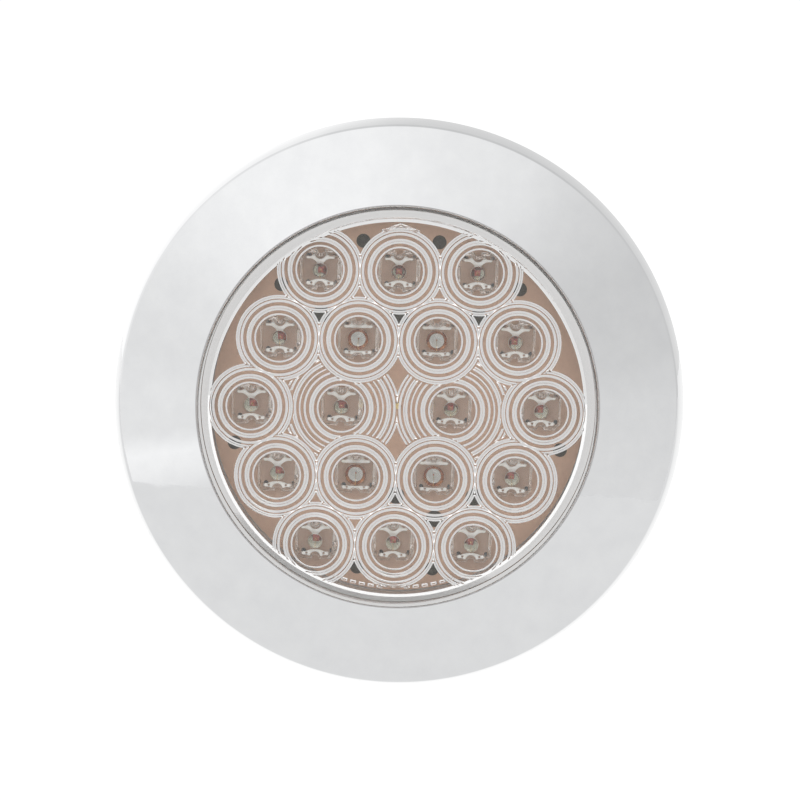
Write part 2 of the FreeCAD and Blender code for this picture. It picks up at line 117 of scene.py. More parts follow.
def math_node(tree, operation, *values):
    """The result of a sum or function of these numbers and sockets."""
    made = tree.nodes.new("ShaderNodeMath")
    made.operation = operation
    for socket, value in zip(made.inputs, values):
        if isinstance(value, bpy.types.NodeSocket):
            tree.links.new(value, socket)
        else:
            socket.default_value = value
    return made.outputs[0]


def remap(tree, value, from_low, from_high, to_low, to_high, smooth=False):
    """A value carried from one range to another, and held at its ends."""
    made = add_node(tree, "MapRange", {"interpolation_type": "SMOOTHSTEP" if smooth else "LINEAR"},
                    Value=value, From_Min=from_low, From_Max=from_high, To_Min=to_low, To_Max=to_high)
    return made.outputs["Result"]


def ramp(tree, value, *stops):
    """A colour ramp with these (place, colour) stops."""
    made = add_node(tree, "ValToRGB", Fac=value)
    elements = made.color_ramp.elements
    while len(elements) < len(stops):
        elements.new(1.0)
    for element, (place, colour) in zip(elements, stops):
        element.position = place
        element.color = (*colour, 1.0)
    return made.outputs["Color"]


def noise(tree, vector, scale, detail=4.0, roughness=0.5):
    """Soft noise from 0 to 1. In object_coordinates() its scale is in waves per millimetre."""
    made = add_node(tree, "TexNoise", Vector=vector, Scale=scale, Detail=detail, Roughness=roughness)
    return made.outputs["Fac"]


def object_coordinates(tree, stretch=(1.0, 1.0, 1.0)):
    """Coordinates in the piece's own millimetres, squeezed or stretched along its axes."""
    place = add_node(tree, "TexCoord").outputs["Object"]
    scale = tuple(value / MM for value in stretch)
    return add_node(tree, "Mapping", Vector=place, Scale=scale).outputs["Vector"]


def start_material(name):
    """A new material, its node tree and its main shader."""
    material = bpy.data.materials.new(name)
    material.use_nodes = True
    tree = material.node_tree
    return material, tree, tree.nodes["Principled BSDF"]


def set_input(tree, shader, name, value):
    """Gives a shader's input a value, or links it to a socket."""
    if isinstance(value, bpy.types.NodeSocket):
        tree.links.new(value, shader.inputs[name])
    else:
        shader.inputs[name].default_value = value


def set_colour(tree, shader, value, dark, light, low=0.3, high=0.7):
    """Takes the base colour from dark to light as the value goes from low to high."""
    set_input(tree, shader, "Base Color", ramp(tree, value, (low, dark), (high, light)))


def add_bump(tree, shader, height, depth_mm, strength=1.0):
    """Fine relief, with the depth that a height of 1 stands for, in millimetres."""
    made = add_node(tree, "Bump", Height=height, Distance=depth_mm * MM, Strength=strength)
    tree.links.new(made.outputs["Normal"], shader.inputs["Normal"])


def clear_to_light(tree, shader, tint):
    """Lets light sources shine straight through a clear piece, instead of being blocked by it."""
    output = tree.nodes["Material Output"]
    window = add_node(tree, "BsdfTransparent", Color=(*tint, 1.0))
    path = add_node(tree, "LightPath")
    mixed = add_node(tree, "MixShader", Fac=path.outputs["Is Shadow Ray"])
    tree.links.new(shader.outputs["BSDF"], mixed.inputs[1])
    tree.links.new(window.outputs["BSDF"], mixed.inputs[2])
    tree.links.new(mixed.outputs["Shader"], output.inputs["Surface"])


# ---------------------------------------------------------------- materials


def chrome_material():
    """Bright plating on moulded plastic: slow waves, a faint haze and a few dull specks."""
    material, tree, shader = start_material("chrome plating")
    place = object_coordinates(tree)
    waves = noise(tree, place, 0.045, detail=2.0)
    haze = noise(tree, place, 0.16, detail=6.0, roughness=0.6)
    specks = noise(tree, place, 2.4, detail=2.0)
    set_input(tree, shader, "Metallic", 1.0)
    set_colour(tree, shader, haze, (0.655, 0.66, 0.668), (0.69, 0.695, 0.70))
    hazy = remap(tree, haze, 0.35, 0.75, 0.02, 0.055)
    dull = remap(tree, specks, 0.70, 0.82, 0.0, 0.08)
    set_input(tree, shader, "Roughness", math_node(tree, "ADD", hazy, dull))
    relief = math_node(tree, "ADD", waves, math_node(tree, "MULTIPLY", specks, 0.004))
    add_bump(tree, shader, relief, 0.35, 0.5)
    return material


def lens_material():
    """Clear polycarbonate, polished, with a trace of flow in it."""
    material, tree, shader = start_material("clear lens")
    place = object_coordinates(tree)
    flow = noise(tree, place, 0.05, detail=3.0)
    set_colour(tree, shader, flow, (0.985, 0.985, 0.985), (1.0, 1.0, 1.0))
    set_input(tree, shader, "Transmission Weight", 1.0)
    set_input(tree, shader, "IOR", 1.56)
    set_input(tree, shader, "Roughness", remap(tree, noise(tree, place, 0.4), 0.4, 0.8, 0.0, 0.03))
    add_bump(tree, shader, flow, 0.02, 0.3)
    clear_to_light(tree, shader, (0.9, 0.9, 0.9))
    return material


def epoxy_material():
    """The LEDs' clear epoxy, faintly warm, with slight clouding."""
    material, tree, shader = start_material("clear epoxy")
    place = object_coordinates(tree)
    cloud = noise(tree, place, 0.9, detail=3.0)
    set_colour(tree, shader, cloud, (0.975, 0.965, 0.945), (0.995, 0.99, 0.98))
    set_input(tree, shader, "Transmission Weight", 1.0)
    set_input(tree, shader, "IOR", 1.5)
    set_input(tree, shader, "Roughness", remap(tree, cloud, 0.4, 0.8, 0.0, 0.04))
    add_bump(tree, shader, cloud, 0.01, 0.4)
    clear_to_light(tree, shader, (0.9, 0.9, 0.88))
    return material


def led_silver_material():
    """Silver-plated leadframe: satin, with a fine rolled grain and slight yellowing."""
    material, tree, shader = start_material("silver plating")
    grain = noise(tree, object_coordinates(tree, (12.0, 1.0, 1.0)), 1.2, detail=3.0)
    tarnish = noise(tree, object_coordinates(tree), 0.5, detail=5.0)
    set_input(tree, shader, "Metallic", 1.0)
    set_colour(tree, shader, tarnish, (0.78, 0.76, 0.71), (0.93, 0.92, 0.9), 0.3, 0.65)
    set_input(tree, shader, "Roughness", remap(tree, grain, 0.2, 0.8, 0.28, 0.42))
    add_bump(tree, shader, grain, 0.01, 0.4)
    return material


def board_material():
    """Tan laminate: a faint weave, cloudy patches and fine mottling."""
    material, tree, shader = start_material("tan laminate")
    place = object_coordinates(tree)
    cloud = noise(tree, place, 0.06, detail=5.0, roughness=0.6)
    mottle = noise(tree, place, 1.1, detail=4.0)
    across = noise(tree, object_coordinates(tree, (0.25, 1.0, 2.2)), 1.0, detail=2.0)
    along = noise(tree, object_coordinates(tree, (2.2, 1.0, 0.25)), 1.0, detail=2.0)
    weave = math_node(tree, "MAXIMUM", across, along)
    cloudy = math_node(tree, "MULTIPLY", cloud, 0.6)
    tone = math_node(tree, "ADD", cloudy, math_node(tree, "MULTIPLY", mottle, 0.4))
    set_colour(tree, shader, tone, (0.545, 0.350, 0.245), (0.645, 0.424, 0.305))
    set_input(tree, shader, "Roughness", remap(tree, mottle, 0.3, 0.7, 0.4, 0.55))
    add_bump(tree, shader, weave, 0.03, 0.5)
    return material


def potting_material():
    """Dark olive epoxy with a glossy skin and trapped bubbles."""
    material, tree, shader = start_material("dark potting")
    place = object_coordinates(tree)
    cloud = noise(tree, place, 0.8, detail=5.0, roughness=0.65)
    cells = add_node(tree, "TexVoronoi", Vector=place, Scale=1.6).outputs["Distance"]
    set_colour(tree, shader, cloud, (0.016, 0.013, 0.006), (0.055, 0.046, 0.026), 0.35, 0.7)
    set_input(tree, shader, "Roughness", remap(tree, cloud, 0.3, 0.8, 0.3, 0.55))
    add_bump(tree, shader, math_node(tree, "ADD", cloud, cells), 0.12, 0.6)
    return material


def housing_material():
    """Light grey moulded plastic: a fine eroded grain, flow clouding and darker scuffs."""
    material, tree, shader = start_material("grey moulded plastic")
    place = object_coordinates(tree)
    grain = noise(tree, place, 3.2, detail=3.0)
    cloud = noise(tree, place, 0.07, detail=5.0)
    scuff = noise(tree, object_coordinates(tree, (0.15, 1.0, 1.6)), 0.5, detail=7.0, roughness=0.7)
    shade = math_node(tree, "SUBTRACT", cloud, remap(tree, scuff, 0.62, 0.72, 0.0, 0.2))
    set_colour(tree, shader, shade, (0.57, 0.57, 0.56), (0.66, 0.66, 0.65), 0.2, 0.7)
    set_input(tree, shader, "Roughness", remap(tree, grain, 0.3, 0.7, 0.42, 0.58))
    add_bump(tree, shader, grain, 0.03, 0.6)
    return material


def gasket_material():
    """Closed-cell foam rubber with small open pores."""
    material, tree, shader = start_material("foam rubber")
    place = object_coordinates(tree)
    pores = add_node(tree, "TexVoronoi", Vector=place, Scale=1.5).outputs["Distance"]
    pits = remap(tree, pores, 0.05, 0.35, 0.0, 1.0, smooth=True)
    cloud = noise(tree, place, 0.2, detail=4.0)
    set_colour(tree, shader, cloud, (0.014, 0.014, 0.014), (0.038, 0.038, 0.038))
    set_input(tree, shader, "Roughness", remap(tree, cloud, 0.3, 0.7, 0.75, 0.95))
    add_bump(tree, shader, pits, 0.15, 0.7)
    return material


def metal_material(name, dark, light, rough_low, rough_high, scale):
    """Bare or plated metal with cloudy tarnish and a drawn grain."""
    material, tree, shader = start_material(name)
    tarnish = noise(tree, object_coordinates(tree), scale, detail=6.0, roughness=0.6)
    grain = noise(tree, object_coordinates(tree, (1.0, 6.0, 1.0)), scale * 3, detail=3.0)
    set_input(tree, shader, "Metallic", 1.0)
    set_colour(tree, shader, tarnish, dark, light, 0.35, 0.65)
    set_input(tree, shader, "Roughness", remap(tree, tarnish, 0.3, 0.7, rough_high, rough_low))
    add_bump(tree, shader, grain, 0.02, 0.5)
    return material


def part_material(name, dark, light, roughness, scale):
    """A small moulded or cast part, with mottling and a slightly uneven skin."""
    material, tree, shader = start_material(name)
    mottle = noise(tree, object_coordinates(tree), scale, detail=4.0)
    set_colour(tree, shader, mottle, dark, light, 0.35, 0.65)
    set_input(tree, shader, "Roughness", remap(tree, mottle, 0.3, 0.7, roughness - 0.08, roughness + 0.08))
    add_bump(tree, shader, mottle, 0.02, 0.5)
    return material


# Painted shade: a dark line round each LED package's foot, standing in for the dark outline that the clear
# package's edges show
def painted_edge_shade_material():
    return part_material("painted dark edge shade", (0.02, 0.015, 0.01), (0.08, 0.055, 0.04), 0.4, 3.0)


def die_material():
    return part_material("die red", (0.40, 0.08, 0.07), (0.62, 0.18, 0.14), 0.2, 5.0)


def resistor_material():
    return part_material("chip black", (0.012, 0.012, 0.012), (0.04, 0.04, 0.04), 0.5, 2.0)


def diode_material():
    return part_material("diode black", (0.012, 0.012, 0.014), (0.035, 0.035, 0.038), 0.45, 1.5)


# Painted shade and reflection: the bowl's silver is made darker and tinted olive, for the grey-green that the
# cup mirrors
def painted_reflection_bowl_material():
    return metal_material("polished bowl with painted shade and reflection", (0.42, 0.42, 0.35), (0.58, 0.57, 0.50), 0.12, 0.25, 1.5)


# Painted shade: the wide cups' bowl is a darker grey than the leadframe's silver, for the shade in the cup
def painted_shade_wide_bowl_material():
    return metal_material("wide bowl with painted shade", (0.52, 0.52, 0.50), (0.64, 0.64, 0.62), 0.2, 0.35, 1.5)


# Painted reflection: the silver cup rim is coloured dark red-brown, for the red die that the cup mirrors
# through the dome
def painted_reflection_rim_material():
    return metal_material("cup rim", (0.12, 0.03, 0.02), (0.32, 0.15, 0.07), 0.2, 0.35, 1.5)


def screw_material():
    return metal_material("zinc-plated steel", (0.42, 0.42, 0.43), (0.68, 0.68, 0.67), 0.2, 0.42, 0.6)


def bond_material():
    return metal_material("bond gold", (0.85, 0.6, 0.25), (0.95, 0.75, 0.4), 0.1, 0.2, 4.0)


def brass_material():
    return metal_material("contact brass", (0.55, 0.38, 0.15), (0.86, 0.68, 0.36), 0.18, 0.38, 0.7)


def floor_material():
    """Plain matt paper with a barely visible tooth."""
    material, tree, shader = start_material("pale floor")
    place = add_node(tree, "TexCoord").outputs["Object"]
    tooth = add_node(tree, "TexNoise", Vector=place, Scale=600.0, Detail=2.0).outputs["Fac"]
    set_colour(tree, shader, tooth, (0.87, 0.87, 0.87), (0.89, 0.89, 0.89))
    set_input(tree, shader, "Roughness", 0.9)
    set_input(tree, shader, "Specular IOR Level", 0.0)
    return material


# ---------------------------------------------------------------- mesh helpers


def add_piece(name, shell, material, body, nodes, sharp_angle=30.0):
    """A piece from a shell of bench points and faces. It rides on a body and stands for these CAD nodes."""
    add_object(name, shell_mesh(name, shell, sharp_angle, material), body, nodes)


def shell_mesh(name, shell, sharp_angle, *materials):
    """A smooth mesh of a (points, faces) shell, creased where it turns by more than an angle in degrees."""
    mesh = bpy.data.meshes.new(name)
    points, faces = shell
    mesh.from_pydata([bench(*point) for point in points], [], faces)
    tidy = bmesh.new()
    tidy.from_mesh(mesh)
    bmesh.ops.recalc_face_normals(tidy, faces=tidy.faces)
    tidy.to_mesh(mesh)
    tidy.free()
    mesh.polygons.foreach_set("use_smooth", [True] * len(mesh.polygons))
    mesh.set_sharp_from_angle(angle=math.radians(sharp_angle))
    mesh.update()
    for material in materials:
        mesh.materials.append(material)
    return mesh


def add_object(name, mesh, body, nodes, location=(0.0, 0.0, 0.0)):
    """Places a mesh as a piece that rides on a body and stands for these CAD nodes."""
    piece = bpy.data.objects.new(name, mesh)
    bpy.context.scene.collection.objects.link(piece)
    piece.location = bench(*location)
    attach(piece, body)
    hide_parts(*nodes)


def ring_points(radius, count, x=0.0, y=0.0):
    """Points evenly round a circle, counter-clockwise from its right."""
    angles = [2 * math.pi * i / count for i in range(count)]
    return [(x + radius * math.cos(a), y + radius * math.sin(a)) for a in angles]


def turned_points(outline, count):
    """The points of an outline of (radius, z) turned about the axis: a ring for each of its points."""
    return [(x, y, z) for radius, z in outline for x, y in ring_points(radius, count)]


def band(low, high, count):
    """The quads between two rings of this many points, which start at these indexes."""
    return [(low + i, low + (i + 1) % count, high + (i + 1) % count, high + i) for i in range(count)]


def bands(start, rows, count):
    """The quads between each ring and the next, in a stack of rings that starts at this index."""
    faces = []
    for row in range(rows - 1):
        faces += band(start + row * count, start + (row + 1) * count, count)
    return faces


def fan(ring, tip, count):
    """The triangles between a ring of this many points and a tip."""
    return [(ring + i, ring + (i + 1) % count, tip) for i in range(count)]


def revolve(outline, count):
    """The points and faces of a ring: a closed outline of (radius, z) turned about the axis."""
    rows = len(outline)
    return turned_points(outline, count), bands(0, rows, count) + band((rows - 1) * count, 0, count)


def joined(shells):
    """Several (points, faces) shells as one."""
    points, faces = [], []
    for more_points, more_faces in shells:
        start = len(points)
        points += more_points
        faces += [tuple(start + i for i in face) for face in more_faces]
    return points, faces


def moved(shell, x, y, z=0.0):
    """A (points, faces) shell in another place."""
    points, faces = shell
    return [(px + x, py + y, pz + z) for px, py, pz in points], faces


def lathe(profile, count):
    """A closed shell from a profile of (radius, z) that starts and ends on the axis."""
    rows = len(profile) - 2
    points = [(0.0, 0.0, profile[0][1])] + turned_points(profile[1:-1], count) + [(0.0, 0.0, profile[-1][1])]
    faces = fan(1, 0, count) + bands(1, rows, count) + fan(1 + (rows - 1) * count, len(points) - 1, count)
    return points, faces


# The least cosine of half a corner's turn that a mitre follows in full
SHARPEST_MITRE = 0.5


def inset_loop(loop, distance):
    """A closed loop of (x, y) moved to its left by a distance, with mitred corners."""
    moved_loop = []
    for i, point in enumerate(loop):
        here = Vector(point)
        before = (here - Vector(loop[i - 1])).normalized()
        after = (Vector(loop[(i + 1) % len(loop)]) - here).normalized()
        left = (Vector((-before.y, before.x)) + Vector((-after.y, after.x))).normalized()
        share = max(SHARPEST_MITRE, left.dot(Vector((-after.y, after.x))))
        moved_loop.append(tuple(here + left * distance / share))
    return moved_loop


def slab(loops, low, high, edge):
    """A flat plate with softened edges. Its outline runs counter-clockwise and its holes run clockwise."""
    levels = ((edge, low), (0.0, low + edge), (0.0, high - edge), (edge, high))
    points, faces, starts = [], [], []
    for loop in loops:
        starts.append(len(points))
        for inset, z in levels:
            points += [(x, y, z) for x, y in inset_loop(loop, inset)]
        faces += bands(starts[-1], len(levels), len(loop))
    for level in (0, len(levels) - 1):
        rings = [range(start + level * len(loop), start + (level + 1) * len(loop))
                 for start, loop in zip(starts, loops)]
        index = [i for ring in rings for i in ring]
        corners = [[Vector(points[i]) for i in ring] for ring in rings]
        faces += [tuple(index[i] for i in face) for face in tessellate_polygon(corners)]
    return points, faces


def arc(start, middle, end, count=10):
    """Points on the arc through three points, from the first to the last."""
    a, b, c = Vector(start), Vector(middle), Vector(end)
    u, v = b - a, c - a
    cross = 2 * (u.x * v.y - u.y * v.x)
    centre = a + Vector((v.y * u.dot(u) - u.y * v.dot(v), u.x * v.dot(v) - v.x * u.dot(u))) / cross
    first = math.atan2(a.y - centre.y, a.x - centre.x)
    sweep = math.atan2(c.y - centre.y, c.x - centre.x) - first
    turn = 1 if cross > 0 else -1
    sweep = turn * ((turn * sweep) % (2 * math.pi))
    radius = (a - centre).length
    angles = [first + sweep * i / count for i in range(count + 1)]
    return [(centre.x + radius * math.cos(t), centre.y + radius * math.sin(t)) for t in angles]


def sector(inner, outer, angle, half_angle, count=12):
    """The outline of a sector of a ring about the axis, counter-clockwise."""
    turns = [math.radians(angle - half_angle + 2 * half_angle * i / count) for i in range(count + 1)]
    outside = [(outer * math.cos(t), outer * math.sin(t)) for t in turns]
    inside = [(inner * math.cos(t), inner * math.sin(t)) for t in reversed(turns)]
    return outside + inside


def fillet(before, corner, after, radius, count=6):
    """The points of an arc that rounds a corner of an outline."""
    c = Vector(corner)
    u = (Vector(before) - c).normalized()
    v = (Vector(after) - c).normalized()
    half = math.acos(max(-1.0, min(1.0, u.dot(v)))) / 2
    reach = radius / math.tan(half)
    centre = c + (u + v).normalized() * (radius / math.sin(half))
    start = c + u * reach - centre
    end = c + v * reach - centre
    turn = start.angle_signed(end)
    points = []
    for i in range(count + 1):
        spot = start.copy()
        spot.rotate(Matrix.Rotation(-turn * i / count, 2))
        points.append(tuple(centre + spot))
    return points


def rounded_outline(corners):
    """An outline of (radius, z, rounding) corners, each rounded as it says."""
    outline = []
    for i, (r, z, rounding) in enumerate(corners):
        if rounding == 0:
            outline.append((r, z))
            continue
        before = corners[i - 1][:2]
        after = corners[(i + 1) % len(corners)][:2]
        outline += fillet(before, (r, z), after, rounding)
    return outline


# ---------------------------------------------------------------- the lens and its optics

# The cup: its front, its wall, and the 45 degree fold at its inner corner
LENS_THICK = 2.6
LENS_WALL = 2.5
BORE_RADIUS = LENS_RADIUS - LENS_WALL
CORNER_ROUND = 0.15
CHAMFER_HEIGHT = 0.5
CHAMFER_WIDTH = 0.3
FOLD = 0.8
LENS_FOOT_GAP = 0.1
WALL_STEPS = 1440

OPTIC_RADIUS = 10.9
MIDDLE_OPTIC_RADIUS = 14.7
DOME_RADIUS = 5.75
DOME_SAG = 0.85
DOME_ROWS = 10
RIDGE_END = 0.3
RING_STEPS = 96
# The optics' lines stop just inside the bore
RING_LIMIT = BORE_RADIUS - 0.03
# The spacing of the points on the seam between two optics, and their least number of gaps
SEAM_STEP = 0.15
SEAM_LEAST = 4
# How close two lengths count as the same, and how close two points are merged
SAME = 1e-6
MERGE = 1e-5

# The inner and outer radius of each ring-shaped ridge around an optic's dome
SHARED_RIDGES = ((5.8, 6.25), (7.0, 7.55), (7.6, 8.2))
PLAIN_RIDGES = SHARED_RIDGES + ((9.05, 9.7), (9.95, 10.4), (10.45, OPTIC_RADIUS))
MIDDLE_RIDGES = SHARED_RIDGES + ((9.05, 9.6), (10.4, 10.8), (11.5, 12.1), (12.2, 12.6), (13.2, 13.8),
                                 (14.2, MIDDLE_OPTIC_RADIUS))

# The moulded marks: an arrowhead at the top, and dashes this many degrees apart at the bottom
ARROW_Y = 45.4
ARROW_HALF = 4.8
ARROW_RISE = 1.7
ARROW_STROKE = 0.95
DASH_RADIUS = 45.6
DASH_LENGTH = 1.6
DASH_WIDTH = 0.9
DASH_COUNT = 14
DASH_STEP = 2.9
DASH_MIDDLE = 270
MARK_RISE = 0.35
LENS_CREASE = 12.0


def ridge(inner, outer):
    """A ring-shaped ridge with two flanks at 45 degrees, as three (radius, height) points."""
    return [(inner, 0.0), ((inner + outer) / 2, (outer - inner) / 2), (outer, 0.0)]


def optic_profile(ridges):
    """An optic's middle dome and the ridges around it, as (radius, height) points."""
    curve = (DOME_RADIUS ** 2 + DOME_SAG ** 2) / (2 * DOME_SAG)
    radii = [DOME_RADIUS * i / DOME_ROWS for i in range(DOME_ROWS + 1)]
    profile = [(r, math.sqrt(curve ** 2 - r ** 2) - (curve - DOME_SAG)) for r in radii]
    for inner, outer in ridges:
        profile += ridge(inner, outer)
    return profile


PLAIN_PROFILE = optic_profile(PLAIN_RIDGES)
MIDDLE_PROFILE = optic_profile(MIDDLE_RIDGES)


def optic_centres():
    """The centres of the plain optics and of the middle pair, whose rings reach further out."""
    plain, middle = [], []
    for _, x, y, _ in LEDS:
        near_middle = abs(y) < LED_PITCH / 4 and abs(x) < LED_PITCH
        (middle if near_middle else plain).append((x, y))
    return plain, middle


PLAIN_OPTICS, MIDDLE_OPTICS = optic_centres()


def distances(points, centres):
    """How far each point is from each centre."""
    return np.linalg.norm(points[:, None, :] - np.array(centres)[None, :, :], axis=2)


def optic_height(points):
    """How far the lens's inner face stands in from its flat plane at each point."""
    to_plain = distances(points, PLAIN_OPTICS).min(axis=1)
    to_middle = distances(points, MIDDLE_OPTICS).min(axis=1)
    radii, heights = zip(*PLAIN_PROFILE)
    plain = np.interp(to_plain, radii, heights, right=0.0)
    radii, heights = zip(*MIDDLE_PROFILE)
    share = np.clip((to_plain - OPTIC_RADIUS) / RIDGE_END, 0.0, 1.0)
    middle = np.interp(to_middle, radii, heights, right=0.0) * share
    height = np.where(to_plain <= OPTIC_RADIUS, plain, middle)
    fold = np.clip(np.linalg.norm(points, axis=1) - (BORE_RADIUS - FOLD), 0.0, FOLD)
    return np.maximum(height, fold)


def owner(points):
    """The optic that each point belongs to, counted through the plain ones and then the middle pair."""
    to_plain = distances(points, PLAIN_OPTICS)
    to_middle = distances(points, MIDDLE_OPTICS)
    inside = to_plain.min(axis=1) <= OPTIC_RADIUS + SAME
    return np.where(inside, to_plain.argmin(axis=1), len(PLAIN_OPTICS) + to_middle.argmin(axis=1))


def add_runs(plan, points, keep, closed=True):
    """Adds the stretches of a line of points that are kept, as edges of the plan."""
    coordinates, edges = plan
    index = {}
    for i, point in enumerate(points):
        if keep[i]:
            index[i] = len(coordinates)
            coordinates.append(Vector(point))
    last = len(points) if closed else len(points) - 1
    for i in range(last):
        j = (i + 1) % len(points)
        if i in index and j in index:
            edges.append((index[i], index[j]))


def add_loop(plan, loop):
    """Adds a whole closed loop to the plan. Returns its points' indexes."""
    start = len(plan[0])
    add_runs(plan, loop, [True] * len(loop))
    return range(start, start + len(loop))


def optic_plan():
    """The outlines of the optics' rings on the lens's inner face, each cut off where it meets a neighbour."""
    plan = ([], [])
    for radius in (BORE_RADIUS, BORE_RADIUS - FOLD):
        add_loop(plan, ring_points(radius, WALL_STEPS))
    for number, (x, y) in enumerate(PLAIN_OPTICS + MIDDLE_OPTICS):
        profile = PLAIN_PROFILE if number < len(PLAIN_OPTICS) else MIDDLE_PROFILE
        for radius, _ in profile:
            if radius == 0:
                plan[0].append(Vector((x, y)))
                continue
            points = np.array(ring_points(radius, RING_STEPS, x, y))
            keep = (owner(points) == number) & (np.linalg.norm(points, axis=1) < RING_LIMIT)
            add_runs(plan, points, keep)
    for x, y in PLAIN_OPTICS:
        points = np.array(ring_points(OPTIC_RADIUS + RIDGE_END, RING_STEPS, x, y))
        near_middle = distances(points, MIDDLE_OPTICS).min(axis=1) < MIDDLE_OPTIC_RADIUS
        outside = distances(points, PLAIN_OPTICS).min(axis=1) >= OPTIC_RADIUS + RIDGE_END - SAME
        add_runs(plan, points, near_middle & outside)
    for one, other in neighbour_pairs():
        add_seam(plan, one, other)
    return plan


def neighbour_pairs():
    """Pairs of optics of one kind whose rings meet."""
    pairs = []
    for centres, reach in ((PLAIN_OPTICS, OPTIC_RADIUS), (MIDDLE_OPTICS, MIDDLE_OPTIC_RADIUS)):
        for i, a in enumerate(centres):
            for b in centres[i + 1:]:
                if math.dist(a, b) < 2 * reach:
                    pairs.append((a, b))
    return pairs


def add_seam(plan, a, b):
    """The straight line on which two optics' rings meet."""
    centre = (Vector(a) + Vector(b)) / 2
    across = (Vector(b) - Vector(a)).orthogonal().normalized()
    is_plain = a in PLAIN_OPTICS
    reach = OPTIC_RADIUS if is_plain else MIDDLE_OPTIC_RADIUS
    half = math.sqrt(reach ** 2 - (math.dist(a, b) / 2) ** 2)
    count = max(SEAM_LEAST, int(half / SEAM_STEP))
    points = np.array([centre + across * half * (2 * i / count - 1) for i in range(count + 1)])
    keep = np.linalg.norm(points, axis=1) < RING_LIMIT
    if not is_plain:
        keep &= distances(points, PLAIN_OPTICS).min(axis=1) > OPTIC_RADIUS
    add_runs(plan, points, keep, closed=False)


def triangulate(plan):
    """The plan's flat triangles, and its points."""
    coordinates, edges = plan
    points, _, faces, _, _, _ = delaunay_2d_cdt(coordinates, edges, [], 0, MERGE, False)
    return np.array(points), faces


def engraved_disc(radius, count, z, loop, narrowing, depth):
    """A flat disc with a tapered recess cut into it. Its first points are its edge, in order."""
    plan = ([], [])
    add_loop(plan, ring_points(radius, count))
    add_loop(plan, loop)
    sunk = add_loop(plan, inset_loop(loop, narrowing))
    flat, faces = triangulate(plan)
    points = [(x, y, z) for x, y in flat]
    for i in sunk:
        points[i] = (*points[i][:2], z - depth)
    return points, [tuple(face) for face in faces]


def dash(angle):
    """The outline of a short stroke along a circle about the axis, counter-clockwise."""
    half_angle = math.degrees(DASH_LENGTH / 2 / DASH_RADIUS)
    return sector(DASH_RADIUS - DASH_WIDTH / 2, DASH_RADIUS + DASH_WIDTH / 2, angle, half_angle, count=4)


def lens_marks():
    """An arrowhead that says which side is up, and a row of plain dashes at the bottom."""
    foot = ARROW_Y - ARROW_STROKE
    arrow = [(-ARROW_HALF, foot), (0.0, foot + ARROW_RISE), (ARROW_HALF, foot), (ARROW_HALF, ARROW_Y),
             (0.0, ARROW_Y + ARROW_RISE), (-ARROW_HALF, ARROW_Y)]
    angles = [DASH_MIDDLE + DASH_STEP * (i - (DASH_COUNT - 1) / 2) for i in range(DASH_COUNT)]
    return [arrow] + [dash(angle) for angle in angles]


def add_marks(plan):
    """Adds the marks' outlines to the plan, each with a smaller loop inside for its raised top.

    Returns the indexes of the tops' points.
    """
    raised = []
    for loop in lens_marks():
        add_loop(plan, loop)
        raised += add_loop(plan, inset_loop(loop, MARK_RISE))
    return raised


def lens_outline():
    """The lens's outside as (radius, z), from its bore round its V-shaped foot to the front's edge."""
    foot = LENS_BACK + LENS_FOOT_GAP
    flank = LENS_WALL / 2
    corners = [
        (BORE_RADIUS, foot + flank, 0),
        (BORE_RADIUS + flank, foot, 0),
        (LENS_RADIUS, foot + flank, 0),
        (LENS_RADIUS, LENS_FRONT - CHAMFER_HEIGHT, CORNER_ROUND),
        (LENS_RADIUS - CHAMFER_WIDTH, LENS_FRONT, CORNER_ROUND),
        (0.0, LENS_FRONT, 0),
    ]
    return rounded_outline(corners)[:-1]


def make_lens(material):
    """The clear cup: its outside turned on the axis, and its inner face with optics and moulded marks."""
    outline = lens_outline()
    points = turned_points(outline, WALL_STEPS)
    front_face = tuple(range(len(points) - WALL_STEPS, len(points)))
    plan = optic_plan()
    raised = add_marks(plan)
    flat, triangles = triangulate(plan)
    depth = LENS_FRONT - LENS_THICK - optic_height(flat)
    depth[raised] -= MARK_RISE
    start = len(points)
    points += [(x, y, z) for (x, y), z in zip(flat, depth)]
    faces = [front_face] + bands(0, len(outline), WALL_STEPS)
    faces += [tuple(start + i for i in face) for face in triangles]
    faces += band(0, start, WALL_STEPS)
    add_piece("clear_lens_cup", (points, faces), material, "lamp", ["lens"], LENS_CREASE)


# ---------------------------------------------------------------- the bezel

BEZEL_WALL = 1.8
BEZEL_GAP = 0.5
BEZEL_LIP_WIDTH = 0.6
OPENING_RADIUS = LENS_RADIUS + BEZEL_GAP
LIP_RADIUS = OPENING_RADIUS + BEZEL_LIP_WIDTH
BEZEL_DRAFT = 2.5
SHOULDER = 9.4
HOOK_ANGLES = (90, 210, 330)
HOOK_HALF_ANGLE = 8.0
HOOK_WALL = (57.0, 58.8)
HOOK_FOOT = (54.2, 57.5)
HOOK_BACK = 6.4
HOOK_FOOT_FRONT = 8.6
HOOK_EDGE = 0.15
RIM_ROUND = 0.25
SHOULDER_ROUND = 1.2
LIP_OUTER_ROUND = 0.3
LIP_INNER_ROUND = 0.4
INSIDE_ROUND = 0.4
LIP_EXTRA_DEPTH = 0.5
BEZEL_STEPS = 720


def bezel_slope():
    """How much the bezel's face rises for each millimetre outward. It is negative, as the face falls away."""
    return (SHOULDER - BEZEL_LIP) / (BEZEL_RADIUS - BEZEL_DRAFT - LIP_RADIUS)


